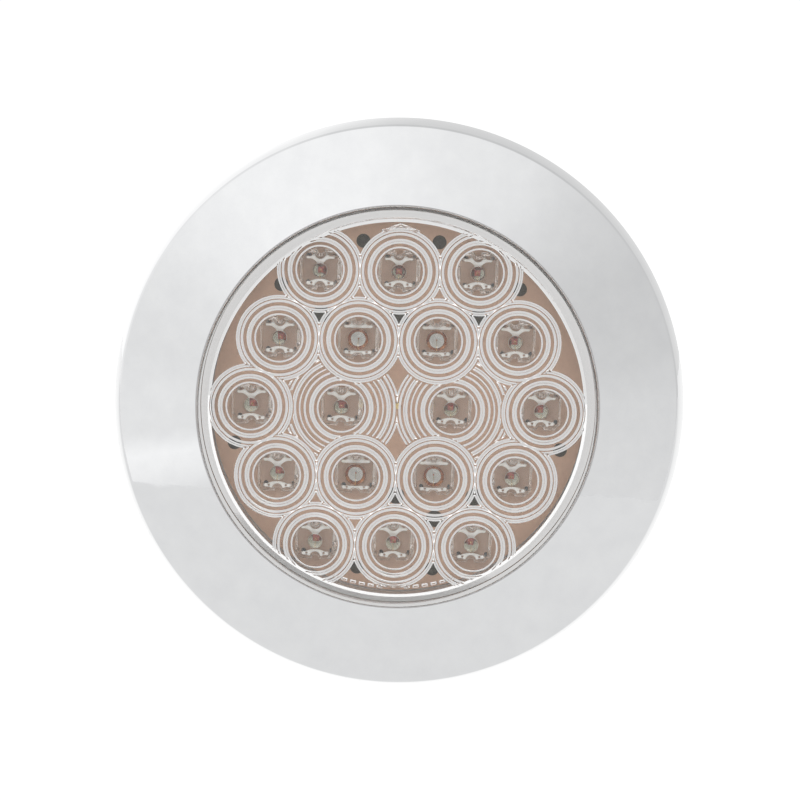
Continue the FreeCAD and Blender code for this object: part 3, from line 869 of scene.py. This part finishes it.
def bezel_outline():
    """The trim ring's section as (radius, z), from its outer foot over the face to the lip and back."""
    shoulder = BEZEL_RADIUS - BEZEL_DRAFT
    inside = OPENING_RADIUS + BEZEL_WALL
    lip_foot = BEZEL_LIP - BEZEL_WALL - LIP_EXTRA_DEPTH
    under_face = BEZEL_LIP + bezel_slope() * (inside - LIP_RADIUS) - BEZEL_WALL
    return rounded_outline([
        (BEZEL_RADIUS, BEZEL_BACK, RIM_ROUND),
        (shoulder, SHOULDER, SHOULDER_ROUND),
        (LIP_RADIUS, BEZEL_LIP, LIP_OUTER_ROUND),
        (OPENING_RADIUS, BEZEL_LIP, LIP_INNER_ROUND),
        (OPENING_RADIUS, lip_foot, 0),
        (inside, lip_foot, 0),
        (inside, under_face, 0),
        (shoulder - BEZEL_WALL, SHOULDER - bezel_slope() * BEZEL_WALL - BEZEL_WALL, INSIDE_ROUND),
        (BEZEL_RADIUS - BEZEL_WALL, BEZEL_BACK, RIM_ROUND),
    ])


def make_bezel(material):
    """The trim ring, with its rounded lip, sloping face, soft shoulder and drafted skirt, and three hooks."""
    shells = [revolve(bezel_outline(), BEZEL_STEPS)]
    wall_top = BEZEL_LIP + bezel_slope() * (HOOK_WALL[1] - LIP_RADIUS) - BEZEL_WALL / 2
    for angle in HOOK_ANGLES:
        for radii, front in ((HOOK_WALL, wall_top), (HOOK_FOOT, HOOK_FOOT_FRONT)):
            shells.append(slab([sector(*radii, angle, HOOK_HALF_ANGLE)], HOOK_BACK, front, HOOK_EDGE))
    add_piece("chrome_trim_bezel", joined(shells), material, "bezel", ["chrome_bezel"])


# ---------------------------------------------------------------- the LEDs

PACKAGE_HEIGHT = 3.0
PACKAGE_EDGE = 0.12
PACKAGE_FOOT = 0.2
PACKAGE_STEP = 0.9
PACKAGE_DRAFT = 0.3
PACKAGE_NICK = 0.7
PACKAGE_CUT = 1.2
PACKAGE_CORNER = 0.3
DOME_FOOT = 0.3
DOME_STEPS = 48
DOME_LIFTS = 12
# A wide LED's dome is at least this much higher than a narrow one's
WIDE_DOME_EXTRA = 0.1
# The angles in degrees above which an edge stays sharp
PACKAGE_CREASE = 25.0
FRAME_CREASE = 35.0
SCREW_CREASE = 35.0
WIRE_CREASE = 60.0


def package_outline(inset):
    """The package's outline, moved in by an amount: nicks at the top and bottom, and one cut corner."""
    half = LED_SIDE / 2 - inset
    nick = PACKAGE_NICK + inset
    cut = PACKAGE_CUT - (2 - math.sqrt(2)) * inset
    corner = PACKAGE_CORNER
    reach = math.sqrt(max(nick ** 2 - inset ** 2, 0.0))
    points = [(half - cut, -half), (half, cut - half)]
    points += [(half - corner + x, half - corner + y) for x, y in quarter(corner, 0)]
    points += nick_points(nick, inset, reach, half, 1)
    points += [(corner - half + x, half - corner + y) for x, y in quarter(corner, 90)]
    points += [(corner - half + x, corner - half + y) for x, y in quarter(corner, 180)]
    points += nick_points(nick, inset, reach, half, -1)
    return points


def quarter(radius, start, count=4):
    """The points of a quarter circle about the origin, from an angle in degrees."""
    angles = [math.radians(start + 90.0 * i / count) for i in range(count + 1)]
    return [(radius * math.cos(a), radius * math.sin(a)) for a in angles]


def nick_points(radius, inset, reach, half, side, count=12):
    """The half-round nick in the top (side 1) or the bottom (side -1), going counter-clockwise."""
    edge = half + inset
    start = math.atan2(-inset, reach)
    points = []
    for i in range(count + 1):
        angle = start - (math.pi + 2 * start) * i / count
        points.append((side * radius * math.cos(angle), side * (edge + radius * math.sin(angle))))
    return points


def dome_rows(radius):
    """The (radius, z) rows from the foot's outer edge, through its fillet and over the dome."""
    touch = math.asin(DOME_FOOT / radius)
    side = radius * math.cos(touch)
    outward, upward = (side + 1, PACKAGE_HEIGHT), (side, PACKAGE_HEIGHT + 1)
    foot = fillet(outward, (side, PACKAGE_HEIGHT), upward, DOME_FOOT, count=4)
    lifts = [touch + (math.pi / 2 - touch) * i / DOME_LIFTS for i in range(1, DOME_LIFTS)]
    return foot + [(radius * math.cos(a), PACKAGE_HEIGHT + radius * math.sin(a)) for a in lifts]


def package_shell(dome_height):
    """The clear package, drafted above its foot and with softened edges, and its dome on a small fillet."""
    levels = [(PACKAGE_FOOT, 0.0), (0.0, PACKAGE_FOOT), (0.0, PACKAGE_STEP),
              (PACKAGE_DRAFT, PACKAGE_HEIGHT - PACKAGE_EDGE), (PACKAGE_DRAFT + PACKAGE_EDGE, PACKAGE_HEIGHT)]
    points = [(x, y, z) for inset, z in levels for x, y in package_outline(inset)]
    count = len(package_outline(0.0))
    faces = bands(0, len(levels), count)
    faces.append(tuple(reversed(range(count))))
    rows = dome_rows(dome_height - PACKAGE_HEIGHT)
    top_start = (len(levels) - 1) * count
    rim_start = len(points)
    points += turned_points(rows, DOME_STEPS)
    outer = [Vector(points[top_start + i]) for i in range(count)]
    hole = [Vector(points[rim_start + i]) for i in reversed(range(DOME_STEPS))]
    last_hole = rim_start + count + DOME_STEPS - 1
    for face in tessellate_polygon([outer, hole]):
        faces.append(tuple(top_start + i if i < count else last_hole - i for i in face))
    faces += bands(rim_start, len(rows), DOME_STEPS)
    faces += fan(len(points) - DOME_STEPS, len(points), DOME_STEPS)
    points.append((0.0, 0.0, dome_height))
    return points, faces


# The leadframe lies in the package with its top this far above the package's foot
FRAME_TOP = 2.2
FRAME_THICK = 0.4
FRAME_EDGE = 0.07
LEG_SPOT = 2.54
LEG_WIDTH = 0.5
LEG_END = -3.4
EYES = ((-1.75, -2.55), (1.75, -2.55))
EYE_RADIUS = 0.22
PRONG_TIPS = ((-1.25, 3.0), (1.25, 3.0))
PRONG_RADIUS = 0.2
PRONG_HEIGHT = 0.14
PRONG_ROOT = 0.1
PRONG_ANGLES = (-20, 0, 30, 60)
SMALL_STEPS = 16
CUP_STEPS = 48
CUP_DEPTH = 0.6
CUP_BASE = 0.25
CUP_EDGE = 0.05
BOWL_STEPS = (0.3, 0.6, 1.0)
BOWL_CURVE = 0.7
# A cup's outer radius and the radii of its mouth and its floor
NARROW_CUP = (1.0, 0.8, 0.6)
WIDE_CUP = (1.7, 0.78, 0.66)
# The radii out to which a cup is coloured as a bowl and as a rim: the painted shade and reflection of its
# silver
NARROW_PAINT = (0.84, 0.84)
WIDE_PAINT = (0.78, 1.75)
PAINT_DEPTH = 0.1
FACING_OUT = 0.1
ON_CENTRE = 0.001


def both_sides(half):
    """A symmetrical outline from its right-hand half, which starts and ends at the centre line."""
    return half + [(-x, y) for x, y in reversed(half) if x > ON_CENTRE]


def cathode_loop(wide):
    """The leadframe's upper half: the cup's neck, two arms and two raised prongs."""
    if wide:
        neck = [(0.9, 2.2), (1.6, 2.26), (2.5, 2.2)]
        saddle = arc((1.05, 3.1), (0.8, 2.82), (0.0, 2.72))
    else:
        neck = arc((0.46, 0.9), (1.0, 1.85), (2.5, 2.25))
        saddle = arc((1.1, 3.15), (0.65, 2.5), (0.0, 2.3))
    arm = [(2.8, 2.35), (2.8, 2.75), (1.85, 2.8), (1.4, 3.15)]
    return both_sides(neck + arm + saddle)


def anode_loop(wide):
    """The leadframe's lower half: a bow with an arch cut out below."""
    if wide:
        bow = arc((0.0, -2.3), (1.1, -2.3), (2.1, -2.32))
        arch = arc((1.05, -3.15), (0.8, -2.85), (0.0, -2.8))
    else:
        bow = arc((0.0, -1.7), (1.1, -1.85), (2.1, -2.25))
        arch = arc((1.05, -3.15), (0.7, -2.5), (0.0, -2.25))
    end = arc(bow[-1], (2.75, -2.62), (2.2, -2.95))
    half = bow + end[1:] + [(1.7, -2.95), (1.35, -3.15)] + arch
    return list(reversed(both_sides(half)))


def cup_shell(rim, mouth, floor):
    """The reflector cup under the die, as a closed shell."""
    base = FRAME_TOP - CUP_DEPTH - CUP_BASE
    lip = FRAME_TOP - CUP_EDGE
    profile = [(0.0, base), (rim - CUP_EDGE, base), (rim, base + CUP_EDGE), (rim, lip),
               (rim - CUP_EDGE, FRAME_TOP), (mouth + CUP_EDGE, FRAME_TOP), (mouth, lip)]
    for share in BOWL_STEPS:
        profile.append((mouth + (floor - mouth) * share, lip - (CUP_DEPTH - CUP_EDGE) * share ** BOWL_CURVE))
    return lathe(profile + [(0.0, FRAME_TOP - CUP_DEPTH)], CUP_STEPS)


def prong_shell():
    """A small raised tip on a prong, where the stamping tool lifted it."""
    profile = [(0.0, -PRONG_ROOT)]
    for angle in PRONG_ANGLES:
        turn = math.radians(angle)
        profile.append((PRONG_RADIUS * math.cos(turn), PRONG_HEIGHT * math.sin(turn)))
    return lathe(profile + [(0.0, PRONG_HEIGHT)], SMALL_STEPS)


def leadframe_shell(wide):
    """Both halves of the stamped leadframe, with four legs down through the board."""
    low = FRAME_TOP - FRAME_THICK
    eyes = [list(reversed(ring_points(EYE_RADIUS, SMALL_STEPS, x, y))) for x, y in EYES]
    shells = [slab([cathode_loop(wide)], low, FRAME_TOP, FRAME_EDGE),
              slab([anode_loop(wide)] + eyes, low, FRAME_TOP, FRAME_EDGE)]
    reach_x, reach_y = LEG_WIDTH / 2, FRAME_THICK / 2
    leg = [(-reach_x, -reach_y), (reach_x, -reach_y), (reach_x, reach_y), (-reach_x, reach_y)]
    for x in (-LEG_SPOT, LEG_SPOT):
        for y in (-LEG_SPOT, LEG_SPOT):
            shells.append(moved(slab([leg], LEG_END, FRAME_TOP - FRAME_EDGE, FRAME_EDGE), x, y))
    shells += [moved(prong_shell(), x, y, FRAME_TOP) for x, y in PRONG_TIPS]
    shells.append(cup_shell(*(WIDE_CUP if wide else NARROW_CUP)))
    return joined(shells)


def paint_cup(mesh, wide):
    """Gives the bowl the mesh's second material, with its painted shade and reflection, and a wide LED's cup
    rim the third, with its painted reflection of the red die.
    """
    bowl, rim = WIDE_PAINT if wide else NARROW_PAINT
    for face in mesh.polygons:
        radius = math.hypot(face.center.x / MM, face.center.z / MM)
        height = -face.center.y / MM
        in_cup = radius < rim and height > FRAME_TOP - CUP_DEPTH - PAINT_DEPTH
        if in_cup and -face.normal.y > FACING_OUT:
            face.material_index = 1 if radius < bowl else 2


def led_kinds():
    """Each LED's number, its place, whether it is one of the wide, higher ones, and its dome's height."""
    wide_from = min(top for _, _, _, top in LEDS) + WIDE_DOME_EXTRA
    return [(number, x + LED_SEAT[0], y + LED_SEAT[1], top > wide_from, top) for number, x, y, top in LEDS]


def make_leds(epoxy, painted_edge_shade, silver, narrow_bowl_painted, wide_bowl_painted, rim_painted_reflection):
    """The eighteen LEDs' clear packages and leadframes."""
    packages, frames = {}, {}
    for number, x, y, wide, top in led_kinds():
        if wide not in packages:
            kind, bowl = ("wide", wide_bowl_painted) if wide else ("narrow", narrow_bowl_painted)
            package = package_shell(top - LED_BASE)
            packages[wide] = shell_mesh(f"package_{kind}", package, PACKAGE_CREASE, epoxy, painted_edge_shade)
            # Each package's foot band takes the painted dark edge shade
            for face in packages[wide].polygons[:len(package_outline(0.0))]:
                face.material_index = 1
            leadframe = leadframe_shell(wide)
            frames[wide] = shell_mesh(f"leadframe_{kind}", leadframe, FRAME_CREASE, silver, bowl, rim_painted_reflection)
            paint_cup(frames[wide], wide)
        place = (x, y, LED_BASE)
        add_object(f"led_package_{number:02d}", packages[wide], "lamp", [f"led_body_{number:02d}"],
                   place)
        add_object(f"led_leadframe_{number:02d}", frames[wide], "lamp", [f"led_frame_{number:02d}"],
                   place)


DIE_SIDE = 0.38
DIE_HEIGHT = 0.2
WIDE_DIE_SIDE = 0.12
DIE_EDGE = 0.02
PAD_RADIUS = 0.07
PAD_THICK = 0.02
BALL_RADIUS = 0.045
BALL_SHOULDER = 0.05
BALL_TOP = 0.06
WIRE_RADIUS = 0.028
WIRE_REACH = 0.95
WIRE_START = 0.03
WIRE_LIFT = 0.75
WIRE_SKEW = 0.7
WIRE_STEPS = 20
WIRE_SIDES = 8


def pad_shell(top):
    """The gold pad and ball on a die's top."""
    profile = [(0.0, top), (PAD_RADIUS, top), (PAD_RADIUS, top + PAD_THICK),
               (BALL_RADIUS, top + BALL_SHOULDER), (0.0, top + BALL_TOP)]
    return lathe(profile, SMALL_STEPS)


def make_dies(red, gold):
    """The dies in their cups, and the gold pad, ball and wire of each."""
    dies, wires = [], []
    floor = LED_BASE + FRAME_TOP - CUP_DEPTH
    top = floor + DIE_HEIGHT
    for _, x, y, wide, _ in led_kinds():
        half = (WIDE_DIE_SIDE if wide else DIE_SIDE) / 2
        square = [(-half, -half), (half, -half), (half, half), (-half, half)]
        dies.append(moved(slab([square], floor, top, DIE_EDGE), x, y))
        if not wide:
            wires.append(moved(pad_shell(top), x, y))
        wires.append(moved(wire_shell(top + WIRE_START), x, y))
    add_piece("red_led_dies", joined(dies), red, "lamp", ["led_dies"])
    add_piece("gold_bond_wires", joined(wires), gold, "lamp", ["led_bond_wires"], WIRE_CREASE)


def wire_path(start_z):
    """The middle line of a bond wire: up from the die, over the cup's rim and down to the anode's arch."""
    end_z = LED_BASE + FRAME_TOP
    path = []
    for i in range(WIRE_STEPS + 1):
        share = i / WIRE_STEPS
        lift = math.sin(math.pi * share ** WIRE_SKEW) * WIRE_LIFT
        path.append(Vector((0.0, -2 * WIRE_REACH * share, start_z + (end_z - start_z) * share + lift)))
    return path


def wire_shell(start_z):
    """One bond wire, as a round tube along its path."""
    path = wire_path(start_z)
    side = Vector((1.0, 0.0, 0.0))
    points = []
    for i, place in enumerate(path):
        ahead = (path[min(i + 1, WIRE_STEPS)] - path[max(i - 1, 0)]).normalized()
        up = side.cross(ahead)
        points += [tuple(place + side * x + up * y) for x, y in ring_points(WIRE_RADIUS, WIRE_SIDES)]
    faces = bands(0, len(path), WIRE_SIDES)
    faces.append(tuple(reversed(range(WIRE_SIDES))))
    faces.append(tuple(range(len(points) - WIRE_SIDES, len(points))))
    return points, faces


# ---------------------------------------------------------------- the panel screws

SCREW_CIRCLE = 63.5
SCREW_ANGLES = (30, 150, 270)
HEAD_RADIUS = 3.9
HEAD_BACK = 5.0
HEAD_ROUND = 1.2
NECK_RADIUS = 2.3
CREST_RADIUS = 2.08
ROOT_RADIUS = 1.55
THREAD_PITCH = 1.41
THREAD_START = 1.8
POINT_START = -12.0
SCREW_TIP = -15.0
THREAD_FLANK = 0.32
POINT_SHARE = 0.06
NECK_START = 2.3
HEAD_EDGE = 0.15
CROSS_LENGTH = 4.4
CROSS_WIDTH = 0.95
CROSS_TAPER = 0.22
CROSS_DEPTH = 1.3
ROW_HEIGHT = 0.12
THREAD_ROWS = int((THREAD_START - SCREW_TIP) / ROW_HEIGHT)
SCREW_STEPS = 48


def cross_loop(length, width):
    """A cross-shaped outline, counter-clockwise."""
    reach, half = length / 2, width / 2
    quarter_loop = [(reach, -half), (reach, half), (half, half)]
    loop = []
    for turn in range(4):
        cos, sin = round(math.cos(turn * math.pi / 2)), round(math.sin(turn * math.pi / 2))
        loop += [(x * cos - y * sin, x * sin + y * cos) for x, y in quarter_loop]
    return loop


def thread_radius(z, angle):
    """The stud's radius at a height and an angle: a helical ridge on a core that ends in a point."""
    phase = (z / THREAD_PITCH + angle / (2 * math.pi)) % 1.0
    ridge_share = max(0.0, 1.0 - abs(phase - 0.5) / THREAD_FLANK)
    runout = min(1.0, (THREAD_START - z) / THREAD_PITCH)
    taper = max(POINT_SHARE, min(1.0, (z - SCREW_TIP) / (POINT_START - SCREW_TIP)))
    return (ROOT_RADIUS + (CREST_RADIUS - ROOT_RADIUS) * ridge_share * runout) * taper


def thread_points():
    """The stud's rings of points, from just above its tip to where its thread starts."""
    points = []
    for row in range(1, THREAD_ROWS + 1):
        z = SCREW_TIP + ROW_HEIGHT * row
        for i in range(SCREW_STEPS):
            angle = 2 * math.pi * i / SCREW_STEPS
            radius = thread_radius(z, angle)
            points.append((radius * math.cos(angle), radius * math.sin(angle), z))
    return points


def screw_shell():
    """A self-tapping screw with a pan head, a tapered cross recess and a cut thread, about its own axis."""
    head = [(NECK_RADIUS, NECK_START), (NECK_RADIUS, HEAD_BACK), (HEAD_RADIUS - HEAD_EDGE, HEAD_BACK),
            (HEAD_RADIUS, HEAD_BACK + HEAD_EDGE)]
    head += fillet((HEAD_RADIUS, HEAD_BACK), (HEAD_RADIUS, SCREW_TOP), (0.0, SCREW_TOP), HEAD_ROUND)[:-1]
    points = [(0.0, 0.0, SCREW_TIP)] + thread_points() + turned_points(head, SCREW_STEPS)
    crown, crown_faces = engraved_disc(HEAD_RADIUS - HEAD_ROUND, SCREW_STEPS, SCREW_TOP,
                                       cross_loop(CROSS_LENGTH, CROSS_WIDTH), CROSS_TAPER, CROSS_DEPTH)
    faces = [tuple(len(points) + i for i in face) for face in crown_faces]
    faces += fan(1, 0, SCREW_STEPS) + bands(1, THREAD_ROWS + len(head) + 1, SCREW_STEPS)
    return points + crown, faces


def make_screws(material):
    """The three panel screws on their circle."""
    shells = []
    for angle in SCREW_ANGLES:
        turn = math.radians(angle)
        shells.append(moved(screw_shell(), SCREW_CIRCLE * math.cos(turn), SCREW_CIRCLE * math.sin(turn)))
    add_piece("threaded_panel_screws", joined(shells), material, "lamp", ["panel_screws"],
              SCREW_CREASE)


# ---------------------------------------------------------------- carried-over CAD nodes


def dress(prefix, material):
    """Gives the CAD nodes whose names start like this a better material."""
    for name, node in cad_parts.items():
        if name.startswith(prefix):
            node.data.materials.clear()
            node.data.materials.append(material)


def dress_frame():
    """Gives each carried-over CAD node its material."""
    dress("circuit_board", board_material())
    dress("potting", potting_material())
    dress("base_housing", housing_material())
    dress("gasket", gasket_material())
    dress("pin_", brass_material())
    dress("resistors", resistor_material())
    dress("diodes", diode_material())


# ---------------------------------------------------------------- studio

VIEW_AZIMUTH = 1.03
VIEW_ELEVATION = 4.63
VIEW_ROLL = 1.25
VIEW_DISTANCE = 0.5
SENSOR = 36.0
FRAME_WIDTH = 0.2107
AIM_RIGHT = 0.41
AIM_UP = 0.97
CLIP_END = 100.0
FLOOR_LEVEL = -0.25
FLOOR_NEAR = -0.6
FLOOR_FAR = 14.0
FLOOR_HALF_WIDTH = 8.0


def toward(azimuth, elevation):
    """The direction out to a place at this azimuth and elevation, seen from the lamp."""
    a, e = math.radians(azimuth), math.radians(elevation)
    return Vector((math.sin(a) * math.cos(e), -math.cos(a) * math.cos(e), math.sin(e)))


def make_camera():
    """The camera at the viewing angle, with its roll and its small offset from the lamp's centre."""
    camera = bpy.data.cameras.new("camera")
    camera.sensor_width = SENSOR
    camera.lens = SENSOR * VIEW_DISTANCE / FRAME_WIDTH
    camera.clip_end = CLIP_END
    holder = bpy.data.objects.new("camera", camera)
    bpy.context.scene.collection.objects.link(holder)
    back = toward(VIEW_AZIMUTH, VIEW_ELEVATION)
    turn = (-back).to_track_quat("-Z", "Y") @ Euler((0, 0, math.radians(VIEW_ROLL))).to_quaternion()
    aim = turn @ Vector((AIM_RIGHT * MM, AIM_UP * MM, 0.0))
    holder.rotation_mode = "QUATERNION"
    holder.rotation_quaternion = turn
    holder.location = aim + back * VIEW_DISTANCE
    bpy.context.scene.camera = holder


def make_floor(material):
    """A plain floor below the lamp, from just in front of it to far behind."""
    corners = [(-FLOOR_HALF_WIDTH, FLOOR_NEAR), (FLOOR_HALF_WIDTH, FLOOR_NEAR),
               (FLOOR_HALF_WIDTH, FLOOR_FAR), (-FLOOR_HALF_WIDTH, FLOOR_FAR)]
    mesh = bpy.data.meshes.new("floor")
    mesh.from_pydata([(x, y, FLOOR_LEVEL) for x, y in corners], [], [(0, 1, 2, 3)])
    floor = bpy.data.objects.new("floor", mesh)
    bpy.context.scene.collection.objects.link(floor)
    mesh.materials.append(material)


# How bright the studio is in front of the lamp, by its clock angle on the bezel: 0 is right and 90 is top
STUDIO = ((0, 0.98), (12, 0.89), (30, 0.87), (48, 0.98), (62, 1.14), (80, 1.2), (100, 1.31), (125, 1.32),
          (142, 1.24), (152, 1.15), (170, 1.08), (180, 1.14), (189, 1.12), (194, 1.32), (200, 1.2),
          (206, 1.06), (225, 1.06), (300, 1.06), (360, 0.98))
# The same at the sides and behind, for mirrored rays: the bezel's skirt and shoulder show it
STUDIO_SIDES = ((0, 0.85), (30, 0.84), (62, 0.82), (90, 0.84), (105, 0.95), (120, 1.1), (142, 1.2),
                (235, 1.2), (300, 0.9), (360, 0.85))
# What the lamp's flat front mirrors around the camera, and the degrees over which it gives way to the studio
CAMERA_SIDE = (0.66, 0.655, 0.65)
CAMERA_SIDE_EDGE = (11, 22)
# The angles in degrees over which the sides take over, and how bright they are for other rays
SIDES_EDGE = (50, 80)
SIDES_THROUGH_LENS = 0.78
SIDES_AS_LIGHT = 1.2
BACKDROP = 1.05


def grey(level):
    return (level, level, level, 1.0)


def mix(tree, share, first, second):
    """The first colour where the share is 0, and the second where it is 1."""
    return add_node(tree, "MixRGB", Fac=share, Color1=first, Color2=second).outputs["Color"]


def along(tree, place, direction):
    """How far a place lies along a direction."""
    made = add_node(tree, "VectorMath", {"operation": "DOT_PRODUCT"})
    tree.links.new(place, made.inputs[0])
    made.inputs[1].default_value = direction
    return made.outputs["Value"]


def clock_ramp(tree, turn, levels):
    """A brightness by clock angle, from (degrees, level) pairs."""
    return ramp(tree, turn, *[(angle / 360, (level,) * 3) for angle, level in levels])


def beyond(tree, off_axis, edge):
    """0 nearer the axis than an edge's first angle, and 1 beyond its second."""
    return remap(tree, off_axis, math.radians(edge[0]), math.radians(edge[1]), 0.0, 1.0, smooth=True)


def make_world():
    """Soft studio light: a bright tent, dimmer around the camera, with soft boxes around the front."""
    world = bpy.data.worlds.new("studio")
    bpy.context.scene.world = world
    world.use_nodes = True
    tree = world.node_tree
    axis = toward(-VIEW_AZIMUTH, -VIEW_ELEVATION)
    right = Vector((0, 0, 1)).cross(axis).normalized()
    up = axis.cross(right).normalized()
    place = add_node(tree, "TexCoord").outputs["Generated"]
    clock = math_node(tree, "ARCTAN2", along(tree, place, up), along(tree, place, right))
    turn = math_node(tree, "FRACT", math_node(tree, "DIVIDE", clock, 2 * math.pi))
    off_axis = math_node(tree, "ARCCOSINE", along(tree, place, axis))
    ray = add_node(tree, "LightPath").outputs
    around = clock_ramp(tree, turn, STUDIO)
    around_sides = clock_ramp(tree, turn, STUDIO_SIDES)
    front = mix(tree, beyond(tree, off_axis, CAMERA_SIDE_EDGE), (*CAMERA_SIDE, 1.0), around)
    mirrored = mix(tree, ray["Is Glossy Ray"], grey(SIDES_AS_LIGHT), around_sides)
    sides = mix(tree, ray["Is Transmission Ray"], mirrored, grey(SIDES_THROUGH_LENS))
    whole = mix(tree, beyond(tree, off_axis, SIDES_EDGE), front, sides)
    seen = mix(tree, ray["Is Camera Ray"], whole, grey(BACKDROP))
    tree.links.new(seen, tree.nodes["Background"].inputs["Color"])


def set_render():
    """Plain colour, and enough bounces for light to pass in and out of the lens and the packages."""
    scene = bpy.context.scene
    scene.view_settings.view_transform = "Standard"
    scene.cycles.use_denoising = True
    scene.cycles.max_bounces = 32
    scene.cycles.transmission_bounces = 24
    scene.cycles.glossy_bounces = 24
    scene.cycles.diffuse_bounces = 4
    scene.cycles.transparent_max_bounces = 16


make_camera()
make_floor(floor_material())
make_world()
set_render()
dress_frame()
make_lens(lens_material())
make_bezel(chrome_material())
make_leds(epoxy_material(), painted_edge_shade_material(), led_silver_material(), painted_reflection_bowl_material(), painted_shade_wide_bowl_material(),
          painted_reflection_rim_material())
make_screws(screw_material())
make_dies(die_material(), bond_material())
